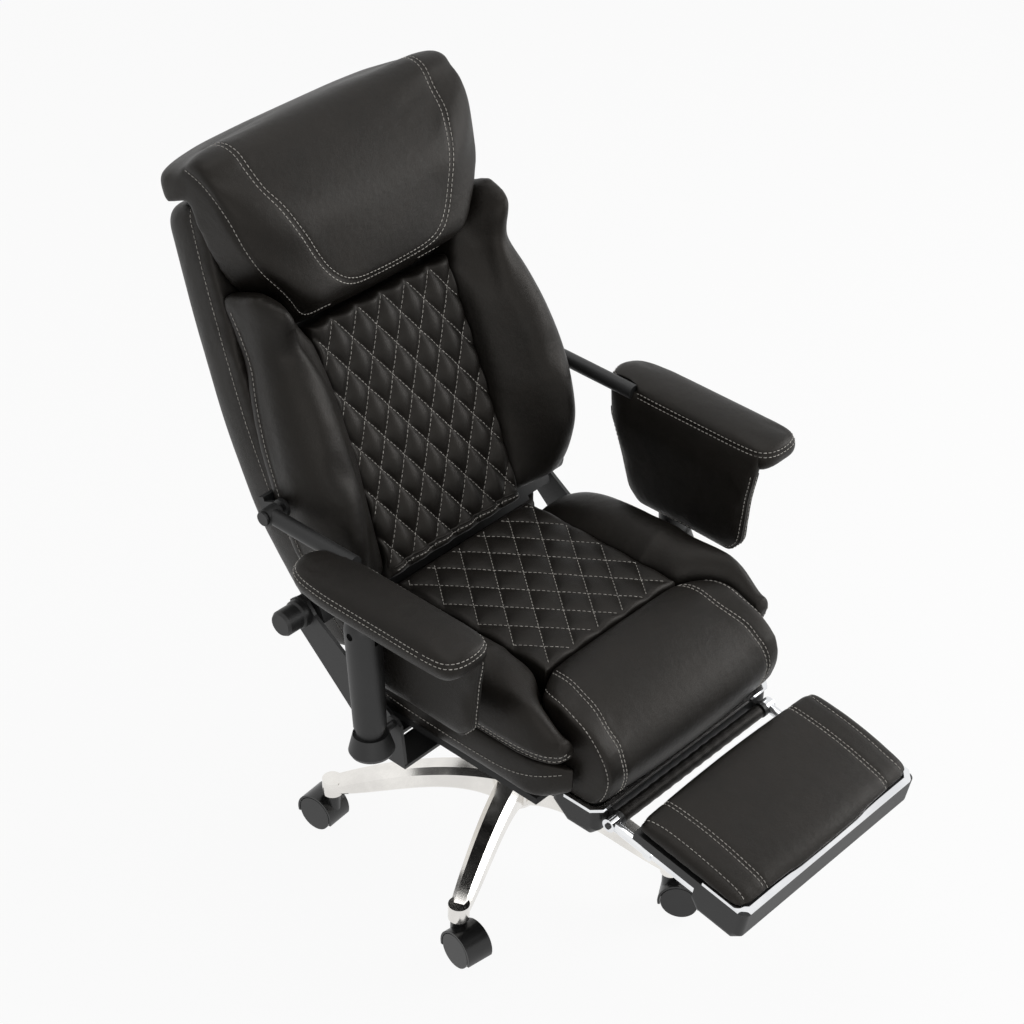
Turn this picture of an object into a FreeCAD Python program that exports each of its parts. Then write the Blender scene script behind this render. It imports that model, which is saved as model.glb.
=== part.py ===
import FreeCAD, Part
import math
import os
import Sketcher
from FreeCAD import Placement, Rotation, Vector

# Reclining office chair with a footrest.
# Millimetres, +Z up, the seat's front is towards -Y and the sitter's left is +X.
# The origin lies on the floor, on the axis of the column.

doc = FreeCAD.newDocument("ReclinerChair")
sheet = doc.addObject("Spreadsheet::Sheet", "Sizes")

SIZES = [
    # five-star base and casters
    ("leg_count", 5),
    ("caster_reach", 300),
    ("first_leg_angle", 132.6),
    ("hub_radius", 42),
    ("hub_low", 72),
    ("hub_top", 140),
    ("leg_end_low", 75),
    ("leg_end_height", 28),
    ("leg_end_radius", 17),
    ("leg_root_half_width", 23),
    ("leg_tip_half_width", 15),
    ("wheel_radius", 30),
    ("wheel_width", 18),
    ("web_thickness", 9),
    ("hood_wall", 3.5),
    ("wheel_clearance", 1.5),
    ("caster_trail", 20),
    ("axle_radius", 4),
    ("stem_radius", 5.5),
    ("stem_collar_radius", 9),
    ("running_clearance", 0.05),
    ("seating_gap", 0.3),
    # column
    ("cylinder_radius", 25),
    ("cylinder_low", 78),
    ("cylinder_top", 225),
    ("cylinder_floor", 7),
    ("piston_radius", 14),
    ("piston_low", 152),
    ("cover_wall", 1.8),
    ("cover_gap", 0.5),
    ("cover_height", 78),
    ("middle_cover_low", 182),
    ("upper_cover_low", 219),
    # tilt housing and controls
    ("housing_low", 300),
    ("housing_half_width", 55),
    ("housing_front", 120),
    ("housing_rear", 80),
    ("housing_plate", 4),
    ("housing_plate_half_width", 105),
    ("piston_socket_depth", 26),
    ("lever_radius", 4),
    ("lever_rise", 22),
    ("lever_forward", 20),
    ("lever_pivot_x", 30),
    ("lever_pin_radius", 3),
    ("lever_reach", 200),
    ("paddle_length", 60),
    ("knob_radius", 22),
    ("knob_length", 34),
    ("knob_rise", 26),
    ("screw_radius", 5),
    ("bolt_radius", 4),
    ("bolt_head_radius", 6.5),
    ("bolt_head_height", 5),
    ("bolt_pitch_across", 170),
    ("bolt_pitch_along", 140),
    # seat
    ("pan_low", 356),
    ("pan_thickness", 12),
    ("pan_half_width", 236),
    ("pan_front", 240),
    ("pan_rear", 92),
    ("pan_corner", 30),
    ("core_half_width", 212),
    ("core_top", 452),
    ("border_half_width", 250),
    ("border_low", 364),
    ("border_top", 446),
    ("border_front", 298),
    ("border_rear", 97),
    ("border_rear_wall", 18),
    ("border_round", 14),
    ("centre_half_width", 150),
    ("seat_top", 534),
    ("seat_front_seam", 176),
    ("seat_rear", 130),
    ("seat_diamond", 50),
    ("channel_width", 9),
    ("channel_depth", 4),
    ("bolster_half_width", 264),
    ("bolster_top", 570),
    ("roll_half_width", 206),
    ("roll_nose", 366),
    ("roll_nose_height", 440),
    ("roll_low", 380),
    ("roll_top", 534),
    # footrest housing and its rim under the seat's front
    ("slab_half_width", 205),
    ("slab_front", 330),
    ("slab_rear", 240.3),
    ("slab_low", 322),
    ("slab_top", 374),
    ("slab_round", 13),
    ("rim_thickness", 5.5),
    ("rim_width", 9),
    ("rim_overhang", 5),
    ("rim_return", 60),
    # footrest
    ("hinge_bar_radius", 11),
    ("hinge_y", 344),
    ("hinge_z", 352),
    ("footrest_slope", 10),
    ("lug_thickness", 8),
    ("bar_half_length", 168),
    ("rail_spread", 185),
    ("rail_outer_radius", 8),
    ("rail_inner_radius", 6),
    ("rail_eye_radius", 11),
    ("rail_outer_length", 80),
    ("rail_collar_radius", 10.5),
    ("rail_collar_length", 11),
    ("rail_overlap", 36),
    ("foot_half_width", 203),
    ("foot_rear", 48),
    ("foot_front", 256),
    ("foot_pan_top", 46),
    ("foot_pan_thin", 30),
    ("foot_pan_low", -12),
    ("foot_box_rear", 170),
    ("foot_pad_top", 79),
    ("foot_socket_depth", 24),
    # back, in a frame that starts at the seam with the seat and leans back
    ("back_seam_y", 145),
    ("back_seam_z", 530),
    ("back_lean", 24),
    ("back_pad_low", -8),
    ("back_pad_top", 407),
    ("back_pad_thickness", 45),
    ("back_diamond_width", 52),
    ("back_diamond_height", 82),
    ("board_thickness", 14),
    ("board_half_width", 205),
    ("board_low", -38),
    ("board_top", 612),
    ("shell_half_width", 273),
    ("shell_low", -120),
    ("shell_top", 645),
    ("shell_depth", 96),
    ("wing_crest", 104),
    ("wing_half_width", 284),
    ("headrest_half_width", 259),
    ("headrest_low", 408),
    ("headrest_top", 722),
    ("headrest_front", 72),
    # recline hinge
    ("recline_y", 213),
    ("recline_z", 490),
    ("recline_axle_radius", 8),
    ("hub_cap_radius", 21),
    ("hub_cap_end", 317),
    ("seat_plate_inner", 266),
    ("plate_thickness", 6),
    ("lug_inner", 254),
    ("lug_radius", 24),
    # arms: the post, the arm and the back form a parallelogram
    ("arm_link_lean", 16),
    ("arm_link_height", 198),
    ("post_x", 354),
    ("post_y", -16),
    ("post_z", 424),
    ("post_low_radius", 25),
    ("post_top_radius", 29),
    ("post_tongue", 8),
    ("post_pin_radius", 6),
    ("neck_radius", 22),
    ("cup_low_radius", 35),
    ("cup_top_radius", 27),
    ("arm_bracket_inner", 302),
    ("arm_inner", 306),
    ("arm_outer", 404),
    ("arm_front", 218),
    ("arm_rear", 124),
    ("arm_over_link", 35),
    ("arm_thickness", 49),
    ("panel_inner", 300),
    ("panel_outer", 323),
    ("panel_low", 486),
    ("panel_round", 10),
    ("arm_tube_radius", 12.5),
    ("arm_tube_x", 314),
    ("link_plate_inner", 288),
    ("link_pin_radius", 6),
]

for row, (alias, number) in enumerate(SIZES, start=1):
    sheet.set("A%d" % row, alias)
    sheet.set("B%d" % row, str(number))
    sheet.setAlias("B%d" % row, alias)
doc.recompute()


class Size:
    """A number together with the spreadsheet expression that gives it."""

    def __init__(self, text, value):
        self.text = text
        self.value = value

    def join(self, other, sign, value):
        return Size("(%s %s %s)" % (self.text, sign, other.text), value)

    def __add__(self, other):
        other = as_size(other)
        return self.join(other, "+", self.value + other.value)

    def __sub__(self, other):
        other = as_size(other)
        return self.join(other, "-", self.value - other.value)

    def __mul__(self, other):
        other = as_size(other)
        return self.join(other, "*", self.value * other.value)

    def __truediv__(self, other):
        other = as_size(other)
        return self.join(other, "/", self.value / other.value)

    def __radd__(self, other):
        return as_size(other) + self

    def __rsub__(self, other):
        return as_size(other) - self

    def __rmul__(self, other):
        return as_size(other) * self

    def __rtruediv__(self, other):
        return as_size(other) / self

    def __neg__(self):
        return as_size(0) - self


def as_size(number):
    """A Size as it is, or a plain number made one."""
    if isinstance(number, Size):
        return number
    return Size("(%s)" % repr(float(number)), float(number))


class SheetReader:
    """Gives each named cell of the sheet as a Size."""

    def __getattr__(self, alias):
        return Size("Sizes." + alias, float(sheet.get(alias)))


S = SheetReader()


def num(size):
    return as_size(size).value


def bind(thing, name, size):
    """Sets a property and ties it to the sheet."""
    thing.setExpression(name, as_size(size).text)


def place(thing, base, turn=None):
    """Puts a thing at a base whose three coordinates are Sizes."""
    point = Vector(*[num(c) for c in base])
    thing.Placement = Placement(point, turn or Rotation())
    for axis, coordinate in zip("xyz", base):
        if isinstance(coordinate, Size):
            bind(thing, "Placement.Base." + axis, coordinate)


TURNS = {
    "x": Rotation(Vector(0, 1, 0), 90),
    "y": Rotation(Vector(1, 0, 0), -90),
    "z": Rotation(),
}


def cylinder(name, radius, length, base, axis="z"):
    """A cylinder that starts at base and runs along +axis."""
    made = doc.addObject("Part::Cylinder", name)
    bind(made, "Radius", radius)
    bind(made, "Height", length)
    place(made, base, TURNS[axis])
    return made


def cone(name, low_radius, top_radius, length, base, axis="z"):
    made = doc.addObject("Part::Cone", name)
    bind(made, "Radius1", low_radius)
    bind(made, "Radius2", top_radius)
    bind(made, "Height", length)
    place(made, base, TURNS[axis])
    return made


def ball(name, radius, base):
    made = doc.addObject("Part::Sphere", name)
    bind(made, "Radius", radius)
    place(made, base)
    return made


def block(name, low, high):
    """A box between two corners."""
    made = doc.addObject("Part::Box", name)
    for side, a, b in zip(("Length", "Width", "Height"), low, high):
        bind(made, side, as_size(b) - a)
    place(made, [as_size(c) for c in low])
    return made


def joined(name, pieces):
    made = doc.addObject("Part::MultiFuse", name)
    made.Shapes = pieces
    return made


def cut(name, piece, tool):
    made = doc.addObject("Part::Cut", name)
    made.Base = piece
    made.Tool = tool
    return made


def group(name, pieces):
    """Several separate solids that share one node."""
    made = doc.addObject("Part::Compound", name)
    made.Links = pieces
    return made


def side_name(side):
    return "left" if side > 0 else "right"


# PartDesign helpers: bodies, polygon and circle sketches, pads and turned shapes

def body(name):
    return doc.addObject("PartDesign::Body", name)


def origin_feature(owner, role):
    return [f for f in owner.Origin.OriginFeatures if f.Role == role][0]


def sketch(owner, role, offset=0):
    made = owner.newObject("Sketcher::SketchObject", owner.Name + "_sketch")
    made.AttachmentSupport = (origin_feature(owner, role), [""])
    made.MapMode = "FlatFace"
    made.AttachmentOffset = Placement(Vector(0, 0, num(offset)), Rotation())
    if isinstance(offset, Size):
        bind(made, "AttachmentOffset.Base.z", offset)
    return made


def pin_point(made, edge, point, x, y):
    """Holds one point of a sketch at x and y from the origin."""
    for kind, size in (("DistanceX", x), ("DistanceY", y)):
        index = made.addConstraint(Sketcher.Constraint(kind, -1, 1, edge, point, num(size)))
        if isinstance(size, Size):
            made.setExpression("Constraints[%d]" % index, size.text)


def polygon(owner, role, points, offset=0):
    """A closed outline of straight lines through points of Sizes."""
    made = sketch(owner, role, offset)
    flat = [Vector(num(x), num(y), 0) for x, y in points]
    count = len(flat)
    made.addGeometry([Part.LineSegment(flat[i], flat[(i + 1) % count]) for i in range(count)])
    for i in range(count):
        made.addConstraint(Sketcher.Constraint("Coincident", i, 2, (i + 1) % count, 1))
    for i, (x, y) in enumerate(points):
        pin_point(made, i, 1, x, y)
    return made


def circle(owner, role, radius, x, y, offset=0):
    made = sketch(owner, role, offset)
    edge = made.addGeometry(Part.Circle(Vector(num(x), num(y), 0), Vector(0, 0, 1), num(radius)))
    index = made.addConstraint(Sketcher.Constraint("Radius", edge, num(radius)))
    made.setExpression("Constraints[%d]" % index, as_size(radius).text)
    pin_point(made, edge, 3, x, y)
    return made


def pad(owner, outline, length, symmetric=False, reverse=False):
    made = owner.newObject("PartDesign::Pad", owner.Name + "_pad")
    made.Profile = outline
    bind(made, "Length", length)
    made.SideType = "Symmetric" if symmetric else "One side"
    made.Reversed = reverse
    return made


def pocket(owner, outline, length, symmetric=False, reverse=False):
    made = owner.newObject("PartDesign::Pocket", owner.Name + "_pocket")
    made.Profile = outline
    bind(made, "Length", length)
    made.SideType = "Symmetric" if symmetric else "One side"
    made.Reversed = reverse
    return made


def plate(name, role, points, thickness, offset=0, symmetric=False, reverse=False):
    """A flat piece: one polygon, padded."""
    owner = body(name)
    pad(owner, polygon(owner, role, points, offset), thickness, symmetric, reverse)
    return owner


def turned(name, points):
    """A piece turned about Z: points are radius and height."""
    owner = body(name)
    made = owner.newObject("PartDesign::Revolution", name + "_turn")
    made.Profile = polygon(owner, "XZ_Plane", points)
    made.ReferenceAxis = (origin_feature(owner, "Z_Axis"), [""])
    made.Angle = 360
    return owner


def round_edges(owner, radius, chosen):
    """Rounds the edges of a body for which chosen(edge) holds."""
    doc.recompute()
    last = owner.Tip
    names = ["Edge%d" % (i + 1) for i, e in enumerate(last.Shape.Edges) if chosen(e)]
    made = owner.newObject("PartDesign::Fillet", owner.Name + "_round")
    made.Base = (last, names)
    bind(made, "Radius", radius)
    return made


def runs_along(edge, axis):
    """True for a straight edge parallel to the axis."""
    if len(edge.Vertexes) != 2 or edge.Curve.TypeId != "Part::GeomLine":
        return False
    run = edge.Vertexes[1].Point.sub(edge.Vertexes[0].Point)
    run.normalize()
    return abs(abs(run.dot(axis)) - 1) < 1e-6


# soft forms: a closed wire of alternating side curves and corner arcs, and a loft through several

CORNER_PULL = math.sqrt(2) - 1


def soft_wire(corners, radii, bulges, to_space):
    """Corners are plane points, one radius per corner and one outward bulge per side that follows it."""
    count = len(corners)
    flat = [Vector(x, y, 0) for x, y in corners]
    lengths = [flat[(i + 1) % count].sub(flat[i]).Length for i in range(count)]
    shares = [min(1, 0.92 * lengths[i] / (radii[i] + radii[(i + 1) % count])) for i in range(count)]
    starts = []
    ends = []
    for i in range(count):
        radius = radii[i] * min(shares[i], shares[i - 1])
        before = flat[i - 1].sub(flat[i])
        after = flat[(i + 1) % count].sub(flat[i])
        before.normalize()
        after.normalize()
        ends.append(flat[i].add(before.multiply(radius)))
        starts.append(flat[i].add(after.multiply(radius)))
    edges = []
    for i in range(count):
        start = starts[i]
        end = ends[(i + 1) % count]
        run = end.sub(start)
        middle = start.add(run.multiply(0.5))
        run.normalize()
        outward = Vector(run.y, -run.x, 0)
        if bulges[i]:
            middle = middle.add(outward.multiply(bulges[i]))
            edges.append(Part.Arc(to_space(start), to_space(middle), to_space(end)).toShape())
        else:
            edges.append(Part.LineSegment(to_space(start), to_space(end)).toShape())
        corner = flat[(i + 1) % count]
        next_start = starts[(i + 1) % count]
        chord = end.add(next_start).multiply(0.5)
        bend = chord.add(corner.sub(chord).multiply(CORNER_PULL))
        edges.append(Part.Arc(to_space(end), to_space(bend), to_space(next_start)).toShape())
    return Part.Wire(edges)


def key_slope(keys, i, column):
    """The slope of one column at one row; zero where the values turn round."""
    if i > 0:
        left = (keys[i][column] - keys[i - 1][column]) / (keys[i][0] - keys[i - 1][0])
    if i < len(keys) - 1:
        right = (keys[i + 1][column] - keys[i][column]) / (keys[i + 1][0] - keys[i][0])
    if i == 0:
        return right
    if i == len(keys) - 1:
        return left
    if left * right <= 0:
        return 0
    return 2 * left * right / (left + right)


def eased(keys, at):
    """The values of a table at any position, smooth and without overshoot; rows start with a position."""
    i = 0
    while i < len(keys) - 2 and at > keys[i + 1][0]:
        i += 1
    span = keys[i + 1][0] - keys[i][0]
    share = (at - keys[i][0]) / span
    values = []
    for column in range(1, len(keys[0])):
        start = keys[i][column]
        end = keys[i + 1][column]
        rise = key_slope(keys, i, column) * span
        fall = key_slope(keys, i + 1, column) * span
        square = share * share
        cube = square * share
        values.append(start * (2 * cube - 3 * square + 1) + rise * (cube - 2 * square + share)
                      + end * (3 * square - 2 * cube) + fall * (cube - square))
    return values


def crowded(low, high, count):
    """Positions from low to high that stand closer together near both ends."""
    middle = (low + high) / 2
    half = (high - low) / 2
    return [middle - half * math.cos(math.pi * i / count) for i in range(count + 1)]


def spread(low, high, count):
    """Evenly spaced positions from low to high."""
    return [low + (high - low) * i / count for i in range(count + 1)]


def soft_loft(sections):
    """A closed solid through sections of equal make; each is (corners, radii, bulges, to_space)."""
    return Part.makeLoft([soft_wire(*section) for section in sections], True, False)


def shaped(name, shape, placement=None):
    """A sub-part whose form is worked out here from the sheet's sizes."""
    made = doc.addObject("Part::Feature", name)
    if shape.ShapeType == "Compound" and len(shape.Solids) == 1:
        shape = shape.Solids[0]
    made.Shape = shape
    if placement:
        made.Placement = placement
    return made


def across(y):
    """Puts a plane point (x, z) at depth y."""
    return lambda p: Vector(p.x, y, p.y)


def along(x):
    """Puts a plane point (y, z) at distance x from the middle."""
    return lambda p: Vector(x, p.x, p.y)


def level(z):
    """Puts a plane point (x, y) at height z."""
    return lambda p: Vector(p.x, p.y, z)


def flipped(points, side):
    """Mirrors plane points for the other side and keeps their turning sense."""
    if side > 0:
        return list(points)
    return [(-x, y) for x, y in reversed(points)]


def flipped_values(values, side, per_side=False):
    """Follows flipped() for a list of radii, or of bulges that belong to the side after a corner."""
    if side > 0:
        return list(values)
    turned_round = list(reversed(values))
    if per_side:
        return turned_round[1:] + turned_round[:1]
    return turned_round


def quilt(shape, span, cell_width, cell_height, surface, to_space, depth_axis):
    """Presses crossing V channels into the flat surface of a pad.

    span is (x low, x high, y low, y high) on the surface, and depth_axis points into the pad."""
    x_low, x_high, y_low, y_high = span
    width = num(S.channel_width)
    depth = num(S.channel_depth)
    rise = cell_height / cell_width
    tools = []
    for lean in (1, -1):
        reach = (x_high - x_low) * rise
        middle = (x_low + x_high) / 2
        steps = int((y_high - y_low + reach) / cell_height) + 2
        for step in range(-steps, steps + 1):
            base = (y_low + y_high) / 2 + (step + 0.5) * cell_height
            start_y = base - lean * rise * (middle - x_low)
            end_y = base + lean * rise * (x_high - middle)
            if max(start_y, end_y) < y_low or min(start_y, end_y) > y_high:
                continue
            start = to_space(Vector(x_low, start_y, 0))
            end = to_space(Vector(x_high, end_y, 0))
            run = end.sub(start)
            sideways = run.cross(depth_axis)
            sideways.normalize()
            lift = Vector(depth_axis).multiply(-surface)
            deep = Vector(depth_axis).multiply(depth)
            half = sideways.multiply(width / 2)
            corners = [start.add(lift).add(half), start.add(lift).sub(half), start.add(deep)]
            face = Part.Face(Part.makePolygon(corners + [corners[0]]))
            tools.append(face.extrude(run))
    return shape.cut(tools)


# five-star base

def make_base():
    """A turned hub with five arched legs that end in a socket for the caster's stem."""
    star = body("base_star")
    hub = star.newObject("PartDesign::Revolution", "hub")
    hub.Profile = polygon(star, "XZ_Plane", [
        (S.cylinder_radius + S.running_clearance, S.hub_low),
        (S.hub_radius - 8, S.hub_low),
        (S.hub_radius, S.hub_low + 12),
        (S.hub_radius, S.hub_top - 10),
        (S.hub_radius - 6, S.hub_top),
        (S.cylinder_radius + S.running_clearance, S.hub_top),
    ])
    hub.ReferenceAxis = (origin_feature(star, "Z_Axis"), [""])
    hub.Angle = 360
    root = S.cylinder_radius + 6
    stations = [
        (root, S.leg_root_half_width, S.hub_low + 8, S.hub_top - 6),
        (S.caster_reach * 0.4, S.leg_root_half_width - 2, S.hub_low + 30, S.hub_top + 1),
        (S.caster_reach * 0.75, S.leg_tip_half_width + 3, S.leg_end_low + 13, S.hub_top - 14),
        (S.caster_reach, S.leg_tip_half_width, S.leg_end_low + 3, S.leg_end_low + S.leg_end_height),
    ]
    outlines = []
    for distance, half_width, low, top in stations:
        shoulder = half_width * 0.55
        outlines.append(polygon(star, "YZ_Plane", [
            (-half_width + 4, low), (half_width - 4, low), (half_width, low + 5),
            (half_width, top - 9), (shoulder, top), (-shoulder, top),
            (-half_width, top - 9), (-half_width, low + 5),
        ], distance))
    leg = star.newObject("PartDesign::AdditiveLoft", "leg")
    leg.Profile = outlines[0]
    leg.Sections = outlines[1:]
    socket = pad(star, circle(star, "XY_Plane", S.leg_end_radius, S.caster_reach, 0, S.leg_end_low),
                 S.leg_end_height)
    bore = pocket(star, circle(star, "XY_Plane", S.stem_radius + S.running_clearance,
                               S.caster_reach, 0, S.leg_end_low), S.leg_end_height - 5, reverse=True)
    legs = star.newObject("PartDesign::PolarPattern", "legs")
    legs.Originals = [leg, socket, bore]
    legs.Axis = (origin_feature(star, "Z_Axis"), [""])
    legs.Angle = 360
    bind(legs, "Occurrences", S.leg_count)
    star.Tip = legs
    # the gas cylinder stands in the hub, so the legs are cleared out of its seat
    seat = pocket(star, circle(star, "XY_Plane", S.cylinder_radius + S.running_clearance, 0, 0,
                               S.hub_top + 10), 90)
    star.Tip = seat
    star.Placement = Placement(Vector(), Rotation(Vector(0, 0, 1), num(S.first_leg_angle)))
    bind(star, "Placement.Rotation.Angle", S.first_leg_angle)
    return [star]


# the direction in which each caster trails, as the photograph shows it or as it would stand
CASTER_TURNS = (95, 262, 300, 20, 60)


def make_caster(number):
    """A hooded fork with its stem, and a pair of wheels on one axle."""
    name = "_%d" % number
    half_web = S.web_thickness / 2
    hood_radius = S.wheel_radius + S.wheel_clearance + S.hood_wall
    half_hood = half_web + S.wheel_width + 1
    trail = S.caster_trail
    axle_height = S.wheel_radius
    drum = cylinder("hood" + name, hood_radius, half_hood * 2, (trail, -half_hood, axle_height), "y")
    boss = cylinder("boss" + name, S.stem_collar_radius + 4, S.leg_end_low - S.wheel_radius - 15,
                    (0, 0, S.wheel_radius + 12))
    solid = joined("fork_blank" + name, [drum, boss])
    wide = S.hood_wall * 20
    below = block("below" + name, (-wide, -wide, -wide), (wide * 2, wide, axle_height - 9))
    cavity = S.wheel_radius + S.wheel_clearance
    left = cylinder("cavity_left" + name, cavity, wide, (trail, half_web, axle_height), "y")
    right = cylinder("cavity_right" + name, cavity, wide, (trail, -half_web - wide, axle_height), "y")
    hole = cylinder("axle_hole" + name, S.axle_radius + S.running_clearance, wide * 2,
                    (trail, -wide, axle_height), "y")
    stem_hole = cylinder("stem_hole" + name, S.stem_radius, wide, (0, 0, S.wheel_radius + 28))
    tools = joined("fork_tools" + name, [below, left, right, hole, stem_hole])
    fork_body = cut("fork_body" + name, solid, tools)
    stem = cylinder("stem_rod" + name, S.stem_radius, S.leg_end_low + S.leg_end_height - 6
                    - S.wheel_radius - 28, (0, 0, S.wheel_radius + 28))
    collar = cylinder("stem_collar" + name, S.stem_collar_radius, 3 - S.seating_gap,
                      (0, 0, S.leg_end_low - 3))
    fork = group("caster_fork" + name, [fork_body, joined("stem" + name, [stem, collar])])

    wheels = []
    for side in (1, -1):
        start = half_web + S.wheel_clearance / 2 if side > 0 else -half_web - S.wheel_clearance / 2
        low = start if side > 0 else start - S.wheel_width
        tread = cylinder("tread%s_%s" % (name, side_name(side)), S.wheel_radius, S.wheel_width,
                         (trail, low, axle_height), "y")
        bore = cylinder("wheel_bore%s_%s" % (name, side_name(side)), S.axle_radius, S.wheel_width * 2,
                        (trail, low - S.wheel_width / 2, axle_height), "y")
        wheels.append(cut("wheel%s_%s" % (name, side_name(side)), tread, bore))
    axle_half = half_web + S.wheel_clearance / 2 + S.wheel_width
    axle = cylinder("axle" + name, S.axle_radius, axle_half * 2, (trail, -axle_half, axle_height), "y")
    pair = group("caster_wheels" + name, wheels + [axle])

    angle = num(S.first_leg_angle) + 360 / num(S.leg_count) * (number - 1)
    turn = Rotation(Vector(0, 0, 1), CASTER_TURNS[(number - 1) % len(CASTER_TURNS)])
    leg_angle = S.first_leg_angle + 360 / S.leg_count * (number - 1)
    for node in (fork, pair):
        node.Placement = Placement(Vector(num(S.caster_reach) * math.cos(math.radians(angle)),
                                          num(S.caster_reach) * math.sin(math.radians(angle)), 0), turn)
        node.setExpression("Placement.Base.x", "%s * cos(%s)" % (S.caster_reach.text, leg_angle.text))
        node.setExpression("Placement.Base.y", "%s * sin(%s)" % (S.caster_reach.text, leg_angle.text))
    return [fork, pair]


# gas spring and its three telescoping covers

def make_column():
    bore = S.piston_radius + S.running_clearance
    gas_cylinder = turned("gas_cylinder", [
        (0, S.cylinder_low), (S.cylinder_radius, S.cylinder_low),
        (S.cylinder_radius, S.cylinder_top - 3), (S.cylinder_radius - 3, S.cylinder_top),
        (bore, S.cylinder_top), (bore, S.cylinder_low + S.cylinder_floor),
        (0, S.cylinder_low + S.cylinder_floor),
    ])
    piston_top = S.housing_low + S.piston_socket_depth - S.seating_gap
    piston = turned("gas_piston", [
        (0, S.piston_low), (S.piston_radius, S.piston_low),
        (S.piston_radius, piston_top - 2), (S.piston_radius - 2, piston_top), (0, piston_top),
    ])
    upper_outer = S.cylinder_radius + S.cover_gap * 2 + S.cover_wall
    middle_outer = upper_outer + S.cover_gap + S.cover_wall
    lower_outer = middle_outer + S.cover_gap + S.cover_wall
    upper_top = S.housing_low - S.seating_gap
    upper = turned("dust_cover_upper", [
        (upper_outer - S.cover_wall, S.upper_cover_low), (upper_outer, S.upper_cover_low),
        (upper_outer, upper_top), (S.piston_radius, upper_top), (S.piston_radius, upper_top - 4),
        (upper_outer - S.cover_wall, upper_top - 4),
    ])
    middle = turned("dust_cover_middle", [
        (middle_outer - S.cover_wall, S.middle_cover_low), (middle_outer, S.middle_cover_low),
        (middle_outer, S.middle_cover_low + S.cover_height),
        (middle_outer - S.cover_wall, S.middle_cover_low + S.cover_height),
    ])
    lower = turned("dust_cover_lower", [
        (S.cylinder_radius + S.running_clearance, S.hub_top), (lower_outer + 3, S.hub_top),
        (lower_outer, S.hub_top + 6), (lower_outer, S.hub_top + S.cover_height),
        (lower_outer - S.cover_wall, S.hub_top + S.cover_height),
        (lower_outer - S.cover_wall, S.hub_top + 4),
        (S.cylinder_radius + S.running_clearance, S.hub_top + 4),
    ])
    return [gas_cylinder, piston, upper, middle, lower]


# tilt housing, its lever, its knob and the bolts that hold it to the pan

def bolt_places():
    """Where the four bolts stand."""
    return [(S.bolt_pitch_across / 2 * i, S.bolt_pitch_along / 2 * j - S.housing_front / 8)
            for i in (-1, 1) for j in (-1, 1)]


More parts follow.
